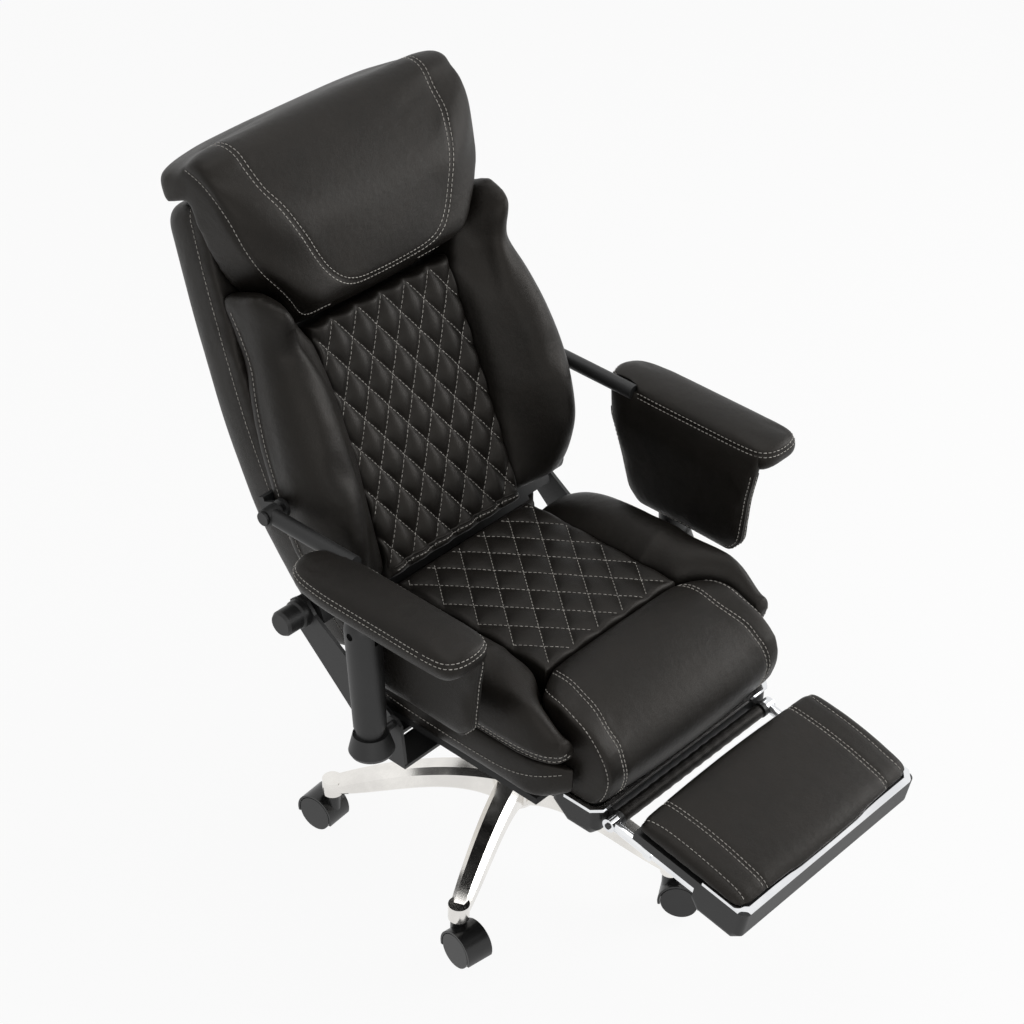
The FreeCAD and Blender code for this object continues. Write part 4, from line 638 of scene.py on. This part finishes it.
ROLL_SEAM = Guide(CHAIR, [(148, -178, 534), (150, -210, 536), (154, -260, 536), (160, -310, 524),
                          (165, -345, 494), (168, -364, 448), (166, -352, 402), (162, -336, 384)])
ROLL_END = Guide(CHAIR, [(186, -190, 524), (192, -220, 530), (196, -260, 526), (199, -300, 508),
                         (200, -330, 478), (200, -345, 444), (199, -338, 408), (196, -326, 390)])
ROLL_SEAMS = [ROLL_SEAM, ROLL_SEAM.mirrored()]
ROLL_ENDS = [ROLL_END, ROLL_END.mirrored()]
roll = Padding("seat_front_roll", "front_roll_leather", CHAIR, 0.005, 4, 10,
               lambda p: p.z < 384 or (p.y > -180 and p.z < 524),
               ROLL_SEAMS + ROLL_ENDS, 4, 8)

pad_low, pad_high = [corner * 1000 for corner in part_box("arm_pad_left")]
pad_middle = (pad_low.x + pad_high.x) / 2
seam_level = pad_high.z - 17


def ring_point(x_share, y):
    half = (pad_high.x - pad_low.x) / 2
    return (pad_middle + half * x_share, y, seam_level)


ARM_RING = Guide(CHAIR, [ring_point(1, -150), ring_point(1, 0), ring_point(0.93, 70), ring_point(0.68, 106),
                         ring_point(0, 123), ring_point(-0.64, 106), ring_point(-0.94, 70),
                         ring_point(-1, 0), ring_point(-1, -150), ring_point(-0.88, -196),
                         ring_point(-0.54, -213), ring_point(0, -218), ring_point(0.54, -213),
                         ring_point(0.88, -196)], closed=True)
arm_pad = Padding("arm_pad_left", "arm_pad_leather_left", CHAIR, 0.0042, 2.5, 6,
                  lambda p: p.z < pad_low.z + 3, [ARM_RING], 4)

arm_panel = Padding("arm_panel_left", "arm_panel_leather_left", CHAIR, 0.0042, 2, 5,
                    lambda p: p.z > 652, [], 4)

FOOT_SEAM = Guide(FOOT, [(148, -50, 44), (148, -56, 62), (148, -70, 77), (148, -110, 80), (148, -180, 80),
                         (148, -236, 77), (148, -252, 62), (148, -254, 48)])
FOOT_END = Guide(FOOT, [(192, -58, 46), (192, -62, 62), (190, -80, 71), (190, -120, 72), (190, -180, 72),
                        (190, -228, 70), (192, -244, 60), (192, -248, 46)])
FOOT_SEAMS = [FOOT_SEAM, FOOT_SEAM.mirrored()]
FOOT_ENDS = [FOOT_END, FOOT_END.mirrored()]
foot_pad = Padding("footrest_pad", "footrest_pad_leather", FOOT, 0.0045, 3.5, 8,
                   lambda p: p.z < 50 and -246 < p.y < -58 and abs(p.x) < 190,
                   FOOT_SEAMS + FOOT_ENDS, 4)

border = Padding("seat_border", "seat_border_leather", CHAIR, 0.005, 1.5, 4,
                 lambda p: abs(p.x) < 216 or p.z > 442 or p.y > 94, [], 4, 12)

Padding.swell()
scene.frame_set(1)


def cushion(piece, node, body):
    """Parents a padded piece to its body and hides the CAD node it stands in for."""
    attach(piece, body)
    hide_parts(node)


def sewn_lines(skin, guides, asides):
    """Stitches along each guide, moved aside by each of the distances."""
    made = []
    for guide in guides:
        for aside in asides:
            made += stitches_along(skin.laid(guide, aside))
    return made


def grooves(piece, guides, depth, width):
    skin = Skin(piece)
    pressed(piece, [[spot for spot, _ in skin.laid(guide)] for guide in guides], depth, width)


# Headrest

grooves(headrest.piece, [HEAD_U] + HEAD_EDGES, 0.0018, 0.0045)
subdivided(headrest.piece)
cushion(headrest.piece, "headrest", "back")
skin = Skin(headrest.piece)
head_stitches = sewn_lines(skin, [HEAD_U], (-0.0045, 0.0045))
head_stitches += sewn_lines(skin, HEAD_EDGES, (0.0,))
sewn("headrest_stitches", "back", head_stitches)

# Wings

WING_BASE = 41
WING_SIDE = 266


def fill_wing_top(bm):
    """The upper end stays full until it runs behind the headrest's edge."""
    inverse = BACK.inverted()
    for v in bm.verts:
        place = (inverse @ v.co) * 1000
        rise = clamped((place.z - 395) / 85)
        share = rise * rise * (3 - 2 * rise)
        place.y = WING_BASE - (WING_BASE - place.y) * (1 + 0.55 * share)
        place.x = WING_SIDE - (WING_SIDE - place.x) * (1 + 0.3 * share)
        v.co = BACK @ (place * MM)


shaped_by(wing.piece, fill_wing_top)
smoothed(wing.piece, 3)
grooves(wing.piece, [WING_OUTER], 0.0016, 0.004)
subdivided(wing.piece)
wing_right = mirrored_mesh(wing.piece, "wing_leather_right")
cushion(wing.piece, "back_wing_left", "back")
cushion(wing_right, "back_wing_right", "back")
skin = Skin(wing.piece)
left_wing_stitches = sewn_lines(skin, [WING_OUTER], (0.0045,))


sewn("wing_stitches", "back", left_wing_stitches + mirrored_stitches(left_wing_stitches))

# Shell

SHELL_LINE = Guide(BACK, [(-120, 72, -118), (-196, 72, -114), (-226, 72, -60), (-244, 72, 0),
                          (-262, 72, 100), (-271, 72, 200), (-272, 72, 300), (-268, 72, 400),
                          (-261, 72, 500), (-252, 72, 590), (-247, 72, 625), (-232, 72, 642)])
SHELL_LINES = [SHELL_LINE, SHELL_LINE.mirrored()]


def close_gap_to_wings(bm):
    """Brings the shell's outer front edge up to the wings, over the board's edge."""
    inverse = BACK.inverted()
    for v in bm.verts:
        place = (inverse @ v.co) * 1000
        if place.y < 72:
            outside = max((abs(place.x) - 207) / 8, (place.z - 614) / 8, (-40 - place.z) / 8)
            share = clamped(outside) * min(1.0, (72 - place.y) / 8)
            place.y -= 12 * share
            v.co = BACK @ (place * MM)


shaped_by(shell.piece, close_gap_to_wings)
grooves(shell.piece, SHELL_LINES, 0.0018, 0.005)
subdivided(shell.piece)
cushion(shell.piece, "back_shell", "back")
sewn("shell_stitches", "back", sewn_lines(Skin(shell.piece), SHELL_LINES, (0.0,)))


# Quilted centre pads

QUILT_RIM = 11
QUILT_DIP = 0.015


def quilted_pad(name, node, body, space, corner_low, corner_high, segments, base, cell, puff, thickness,
                surface):
    """A closed slab whose face is pressed into diamonds.

    base is the middle of one row of diamonds, cell their width and height and puff their rise;
    thickness gives the slab's depth at a height and surface its mean face at a place.
    """
    bm = bmesh.new()
    bmesh.ops.create_grid(bm, x_segments=segments[0], y_segments=segments[1], size=0.5)
    width = corner_high[0] - corner_low[0]
    height = corner_high[1] - corner_low[1]
    for v in bm.verts:
        x = corner_low[0] + (v.co.x + 0.5) * width
        y = corner_low[1] + (v.co.y + 0.5) * height
        u = (y - base) / cell[1] + x / cell[0]
        w = (y - base) / cell[1] - x / cell[0]
        crossing = abs(math.cos(math.pi * u) * math.cos(math.pi * w))
        lowest = math.sqrt(QUILT_DIP)
        pillow = (math.sqrt(crossing + QUILT_DIP) - lowest) / (math.sqrt(1 + QUILT_DIP) - lowest)
        edge = min(x - corner_low[0], corner_high[0] - x, y - corner_low[1], corner_high[1] - y)
        rim = clamped(edge / QUILT_RIM)
        rounded = math.sqrt(max(0.0, 1 - (1 - rim) ** 2))
        v.co = Vector((x, y, surface(x, y) + puff * pillow * rounded - 5 * (1 - rounded)))
    bmesh.ops.smooth_vert(bm, verts=bm.verts, factor=0.3, use_axis_x=False, use_axis_y=False,
                          use_axis_z=True)
    top = bm.faces[:]
    made = bmesh.ops.extrude_face_region(bm, geom=top)
    lower = [item for item in made["geom"] if isinstance(item, bmesh.types.BMVert)]
    for v in lower:
        v.co.z = -thickness(v.co.y)
    bmesh.ops.recalc_face_normals(bm, faces=bm.faces)
    bmesh.ops.transform(bm, matrix=space @ Matrix.Scale(MM, 4), verts=bm.verts)
    mesh = bpy.data.meshes.new(name)
    bm.to_mesh(mesh)
    bm.free()
    piece = new_piece(name, mesh, QUILT_LEATHER)
    mesh.shade_smooth()
    cushion(piece, node, body)
    return piece


def quilt_stitches(piece, space, corner_low, corner_high, base, cell):
    """A stitched line along the bottom of every channel."""
    skin = Skin(piece)
    rise = cell[1] / cell[0]
    made = []
    margin = 7
    x_low, x_high = corner_low[0] + margin, corner_high[0] - margin
    y_low, y_high = corner_low[1] + margin, corner_high[1] - margin
    span = int((y_high - y_low + (x_high - x_low) * rise) / cell[1]) + 2
    for lean in (1, -1):
        for number in range(-span, span + 1):
            start = base + (number + 0.5) * cell[1]
            ends = []
            for x in (x_low, x_high):
                y = start + lean * rise * x
                if y < y_low:
                    x, y = (y_low - start) / (lean * rise), y_low
                if y > y_high:
                    x, y = (y_high - start) / (lean * rise), y_high
                ends.append((x, y))
            (xa, ya), (xb, yb) = ends
            if not (x_low - 1 <= xa <= x_high + 1 and x_low - 1 <= xb <= x_high + 1):
                continue
            if math.hypot(xb - xa, yb - ya) < 12:
                continue
            steps = max(2, int(math.hypot(xb - xa, yb - ya) / 3))
            line = []
            for i in range(steps + 1):
                x = xa + (xb - xa) * i / steps
                y = ya + (yb - ya) * i / steps
                spot, normal, _, _ = skin.tree.ray_cast(space @ Vector((x * MM, y * MM, 0.06)),
                                                        (space.to_3x3() @ Vector((0, 0, -1))).normalized())
                if spot is not None:
                    line.append((spot, normal))
            if len(line) > 2:
                made += stitches_along(line)
    return made


SEAT_CELL = (56.5, 71)
SEAT_ROW = -32.5
BACK_CELL = (52, 82)
BACK_ROW = 199.5
SEAT_QUILT = Matrix.Translation((0, 0, 0.5285))
seat_quilt_low, seat_quilt_high = (-150, -176), (150, 128)
seat_quilt = quilted_pad("seat_quilt_leather", "seat_centre_pad", "seat", SEAT_QUILT, seat_quilt_low,
                         seat_quilt_high, (150, 152), SEAT_ROW, SEAT_CELL, 4.2,
                         lambda y: 68 - 34 * clamped((y - 80) / 40),
                         lambda x, y: -2.5 * (x / 150) ** 2 - 3 * (max(0, y - 60) / 70) ** 2)
sewn("seat_quilt_stitches", "seat",
     quilt_stitches(seat_quilt, SEAT_QUILT, seat_quilt_low, seat_quilt_high, SEAT_ROW, SEAT_CELL),
     QUILT_STITCH_RADIUS)

BACK_QUILT = BACK @ Matrix(((1, 0, 0, 0), (0, 0, -1, 0), (0, 1, 0, 0), (0, 0, 0, 1)))
back_quilt_low, back_quilt_high = (-150, -8), (150, 409)
back_quilt = quilted_pad("back_quilt_leather", "back_centre_pad", "back", BACK_QUILT, back_quilt_low,
                         back_quilt_high, (150, 208), BACK_ROW, BACK_CELL, 10, lambda y: 44,
                         lambda x, y: 1.5 * math.sin(math.pi * clamped(y / 400)))
sewn("back_quilt_stitches", "back",
     quilt_stitches(back_quilt, BACK_QUILT, back_quilt_low, back_quilt_high, BACK_ROW, BACK_CELL),
     QUILT_STITCH_RADIUS)

# Bead and stitches along the back pad's lower edge

HEM_BEAD = 0.0026
BACK_HEM = Guide(BACK, [(-142, -9, 9), (-90, -9, 9), (0, -9, 9), (90, -9, 9), (142, -9, 9)])
hem_skin = Skin(back_quilt)
sewn("back_hem_stitches", "back", stitches_along(hem_skin.laid(BACK_HEM, 0.006)))
drawn("back_hem_piping", [piping(hem_skin.laid(BACK_HEM), HEM_BEAD)], HEM_BEAD, LEATHER, "back", 5)

# Seat bolsters

smoothed(bolster.piece, 150, 0.5, lambda p: -284 < p.y < -104 and p.z > 478)
grooves(bolster.piece, [BOLSTER_EDGE], 0.0018, 0.0045)
subdivided(bolster.piece)
bolster_right = mirrored_mesh(bolster.piece, "seat_bolster_leather_right")
cushion(bolster.piece, "seat_bolster_left", "seat")
cushion(bolster_right, "seat_bolster_right", "seat")
skin = Skin(bolster.piece)
bolster_stitches = sewn_lines(skin, [BOLSTER_EDGE], (-0.0045, 0.0045))
BOLSTER_BEAD = 0.0022
BOLSTER_HEM = Guide(CHAIR, [(252, 108, 462), (264, 70, 455), (264, 0, 452), (264, -150, 452),
                            (264, -232, 455), (258, -272, 459), (242, -294, 464), (222, -300, 470)])
hem_beads = [piping(skin.laid(BOLSTER_HEM), BOLSTER_BEAD)]
drawn("seat_bolster_piping", hem_beads + mirrored_stitches(hem_beads), BOLSTER_BEAD, LEATHER, "seat")
sewn("seat_bolster_stitches", "seat", bolster_stitches + mirrored_stitches(bolster_stitches))

# Front roll

grooves(roll.piece, ROLL_SEAMS + ROLL_ENDS, 0.0018, 0.004)
subdivided(roll.piece)
cushion(roll.piece, "seat_front_roll", "seat")
skin = Skin(roll.piece)
sewn("front_roll_stitches", "seat",
     sewn_lines(skin, ROLL_SEAMS, (-0.0035, 0.0035)) + sewn_lines(skin, ROLL_ENDS, (0.0,)))

# Border below the bolsters, with one curved line of stitches

BORDER_LINE = Guide(CHAIR, [(249, 80, 408), (250, 0, 405), (250, -100, 403), (250, -180, 406),
                            (250, -226, 414), (246, -258, 424), (236, -284, 434)])
def round_border_front(bm):
    """The border's lower edge sweeps up at its front end."""
    for v in bm.verts:
        forward = clamped((-v.co.y * 1000 - 218) / 80)
        depth = max(0.0, (0.446 - v.co.z) / 0.082)
        v.co.z += 0.036 * forward * forward * depth


shaped_by(border.piece, round_border_front)
smoothed(border.piece, 5)
subdivided(border.piece)
cushion(border.piece, "seat_border", "seat")
skin = Skin(border.piece)
border_stitches = sewn_lines(skin, [BORDER_LINE], (0.0,))
sewn("seat_border_stitches", "seat", border_stitches + mirrored_stitches(border_stitches))

# Arms

def run_into_pad(bm):
    """The panel's leather rises over the pad's inner edge, so that both read as one cushion."""
    for v in bm.verts:
        rise = clamped((v.co.z * 1000 - (pad_low.z - 26)) / 26)
        share = rise * rise * (3 - 2 * rise)
        v.co.z += 0.034 * share
        v.co.x += 0.007 * share


shaped_by(arm_panel.piece, run_into_pad)
smoothed(arm_panel.piece, 4)
grooves(arm_pad.piece, [ARM_RING], 0.0014, 0.003)
subdivided(arm_pad.piece)
subdivided(arm_panel.piece)
skin = Skin(arm_pad.piece)
pad_stitches = []
for aside in (-0.0035, 0.0035):
    pad_stitches += stitches_along(skin.laid(ARM_RING, aside), True)
panel_low, panel_high = [corner * 1000 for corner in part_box("arm_panel_left")]
panel_skin = Skin(arm_panel.piece)


def panel_edge(x):
    """Down the front of the hanging panel, along its bottom and up behind."""
    floor = panel_low.z
    return Guide(CHAIR, [(x, -203, 650), (x, -199, 600), (x, -193, 545), (x, -188, floor + 22),
                         (x, -176, floor + 6), (x, -160, floor), (x, -70, floor), (x, 20, floor),
                         (x, 36, floor + 6), (x, 50, floor + 22), (x, 76, 560), (x, 98, 620),
                         (x, 106, 645)])


panel_lines = [panel_skin.laid(panel_edge(x)) for x in (panel_low.x, panel_high.x)]
panel_stitches = sewn_lines(panel_skin, [panel_edge(panel_low.x + 1)], (-0.006, 0.006))
cushion(arm_pad.piece, "arm_pad_left", "arm_left")
cushion(arm_panel.piece, "arm_panel_left", "arm_left")
cushion(mirrored_mesh(arm_pad.piece, "arm_pad_leather_right"), "arm_pad_right", "arm_right")
cushion(mirrored_mesh(arm_panel.piece, "arm_panel_leather_right"), "arm_panel_right", "arm_right")
sewn("arm_stitches_left", "arm_left", pad_stitches + panel_stitches)
sewn("arm_stitches_right", "arm_right", mirrored_stitches(pad_stitches + panel_stitches))


PANEL_BEAD = 0.0017
panel_beads = [piping(line, PANEL_BEAD) for line in panel_lines]
drawn("arm_piping_left", panel_beads, PANEL_BEAD, LEATHER, "arm_left")
drawn("arm_piping_right", mirrored_stitches(panel_beads), PANEL_BEAD, LEATHER, "arm_right")

# Footrest pad and the leather on its hinge bar

def cover_the_rim(bm):
    """The pad bulges out over the bright rim, so that only the rim's outer edge shows."""
    inverse = FOOT.inverted()
    for v in bm.verts:
        place = (inverse @ v.co) * 1000
        level = clamped((place.z - 51) / 3)
        side = clamped((abs(place.x) - 150) / 45)
        front = clamped((-place.y - 205) / 40)
        place.x += math.copysign(12 * side * level, place.x)
        place.y -= 10 * front * level
        v.co = FOOT @ (place * MM)


shaped_by(foot_pad.piece, cover_the_rim)
grooves(foot_pad.piece, FOOT_SEAMS + FOOT_ENDS, 0.0018, 0.004)
subdivided(foot_pad.piece)
cushion(foot_pad.piece, "footrest_pad", "footrest")
skin = Skin(foot_pad.piece)
sewn("footrest_stitches", "footrest",
     sewn_lines(skin, FOOT_SEAMS, (-0.0035, 0.0035)) + sewn_lines(skin, FOOT_ENDS, (0.0,)))


def make_hinge_wrap():
    """Leather sleeve on the bar the footrest turns on, gathered a little along its length."""
    low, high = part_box("hinge_bar")
    middle = (low + high) / 2
    radius = (high.z - low.z) / 2
    bm = bmesh.new()
    bmesh.ops.create_circle(bm, cap_ends=False, segments=40, radius=radius)
    ring = bm.edges[:]
    length = high.x - low.x
    steps = 56
    rings = [ring]
    for _ in range(steps):
        made = bmesh.ops.extrude_edge_only(bm, edges=rings[-1])
        verts = [g for g in made["geom"] if isinstance(g, bmesh.types.BMVert)]
        bmesh.ops.translate(bm, verts=verts, vec=(0, 0, length / steps))
        rings.append([g for g in made["geom"] if isinstance(g, bmesh.types.BMEdge)])
    for v in bm.verts:
        along = v.co.z / length
        angle = math.atan2(v.co.y, v.co.x)
        ripple = 0.0005 * math.sin(along * 88 + 1.3 * math.sin(angle * 2)) * math.sin(math.pi * along)
        end = min(1.0, min(along, 1 - along) * length / 0.004)
        swell = radius + ripple - 0.0015 * (1 - end)
        v.co.x = math.cos(angle) * swell
        v.co.y = math.sin(angle) * swell
    for edges in (rings[0], rings[-1]):
        bmesh.ops.contextual_create(bm, geom=edges)
    bmesh.ops.recalc_face_normals(bm, faces=bm.faces)
    place = Matrix.Translation((low.x, middle.y, middle.z)) @ Matrix.Rotation(math.radians(90), 4, "Y")
    bmesh.ops.transform(bm, matrix=place, verts=bm.verts)
    mesh = bpy.data.meshes.new("hinge_bar_leather")
    bm.to_mesh(mesh)
    bm.free()
    mesh.shade_smooth()
    cushion(new_piece("hinge_bar_leather", mesh, LEATHER), "hinge_bar", "seat")


make_hinge_wrap()
finish_nodes()
make_camera()


# Floor, light and background

def background_share(wires):
    """1 for rays that show the background: seen directly, in metal or through glass."""
    camera = wires.node("ShaderNodeLightPath", {}, {}, "Is Camera Ray")
    glossy = wires.node("ShaderNodeLightPath", {}, {}, "Is Glossy Ray")
    clear = wires.node("ShaderNodeLightPath", {}, {}, "Is Transmission Ray")
    return camera.math("MINIMUM", camera + glossy + clear, 1.0)


def make_studio():
    bm = bmesh.new()
    bmesh.ops.create_grid(bm, x_segments=2, y_segments=2, size=14)
    mesh = bpy.data.meshes.new("studio_floor")
    bm.to_mesh(mesh)
    bm.free()
    finish = Finish("studio_floor_paper")
    fibres = finish.noise(3, 3)
    colour = finish.mixed(fibres, (0.86, 0.86, 0.86), (0.9, 0.9, 0.9))
    finish.set(base_color=colour, roughness=0.9)
    glow = finish.node("ShaderNodeEmission", {}, {"Color": (1, 1, 1, 1), "Strength": 1.0})
    blend = finish.node("ShaderNodeMixShader", {}, {"Fac": background_share(finish) * 0.93,
                                                   1: Wire(finish, finish.shader.outputs[0]), 2: glow})
    finish.tree.links.new(blend.socket, finish.tree.nodes["Material Output"].inputs["Surface"])
    floor = new_piece("studio_floor", mesh, finish.material)
    for name, place, aim, size, power in (
            ("key_softbox", (3.0, -1.9, 1.9), (0, 0, 0.6), (2.2, 2.0), 70),
            ("fill_softbox", (-2.6, -2.4, 2.0), (0, 0, 0.6), (1.8, 1.8), 26),
            ("top_softbox", (0.4, 0.2, 3.8), (0, 0, 0.6), (2.4, 2.4), 26)):
        data = bpy.data.lights.new(name, "AREA")
        data.shape = "RECTANGLE"
        data.size, data.size_y = size
        data.energy = power
        lamp = bpy.data.objects.new(name, data)
        scene.collection.objects.link(lamp)
        lamp.location = place
        lamp.rotation_mode = "QUATERNION"
        lamp.rotation_quaternion = (Vector(place) - Vector(aim)).to_track_quat("Z", "Y")
    world = bpy.data.worlds.new("studio")
    scene.world = world
    world.use_nodes = True
    tree = world.node_tree
    light = tree.nodes["Background"]
    light.inputs["Color"].default_value = (1, 1, 1, 1)
    seen = tree.nodes.new("ShaderNodeBackground")
    seen.inputs["Color"].default_value = (1, 1, 1, 1)
    seen.inputs["Strength"].default_value = 1.0
    light.inputs["Strength"].default_value = 0.2
    wires = Finish.__new__(Finish)
    wires.tree = tree
    mix = tree.nodes.new("ShaderNodeMixShader")
    tree.links.new(background_share(wires).socket, mix.inputs[0])
    tree.links.new(light.outputs[0], mix.inputs[1])
    tree.links.new(seen.outputs[0], mix.inputs[2])
    tree.links.new(mix.outputs[0], tree.nodes["World Output"].inputs["Surface"])


make_studio()
scene.view_settings.view_transform = "Standard"
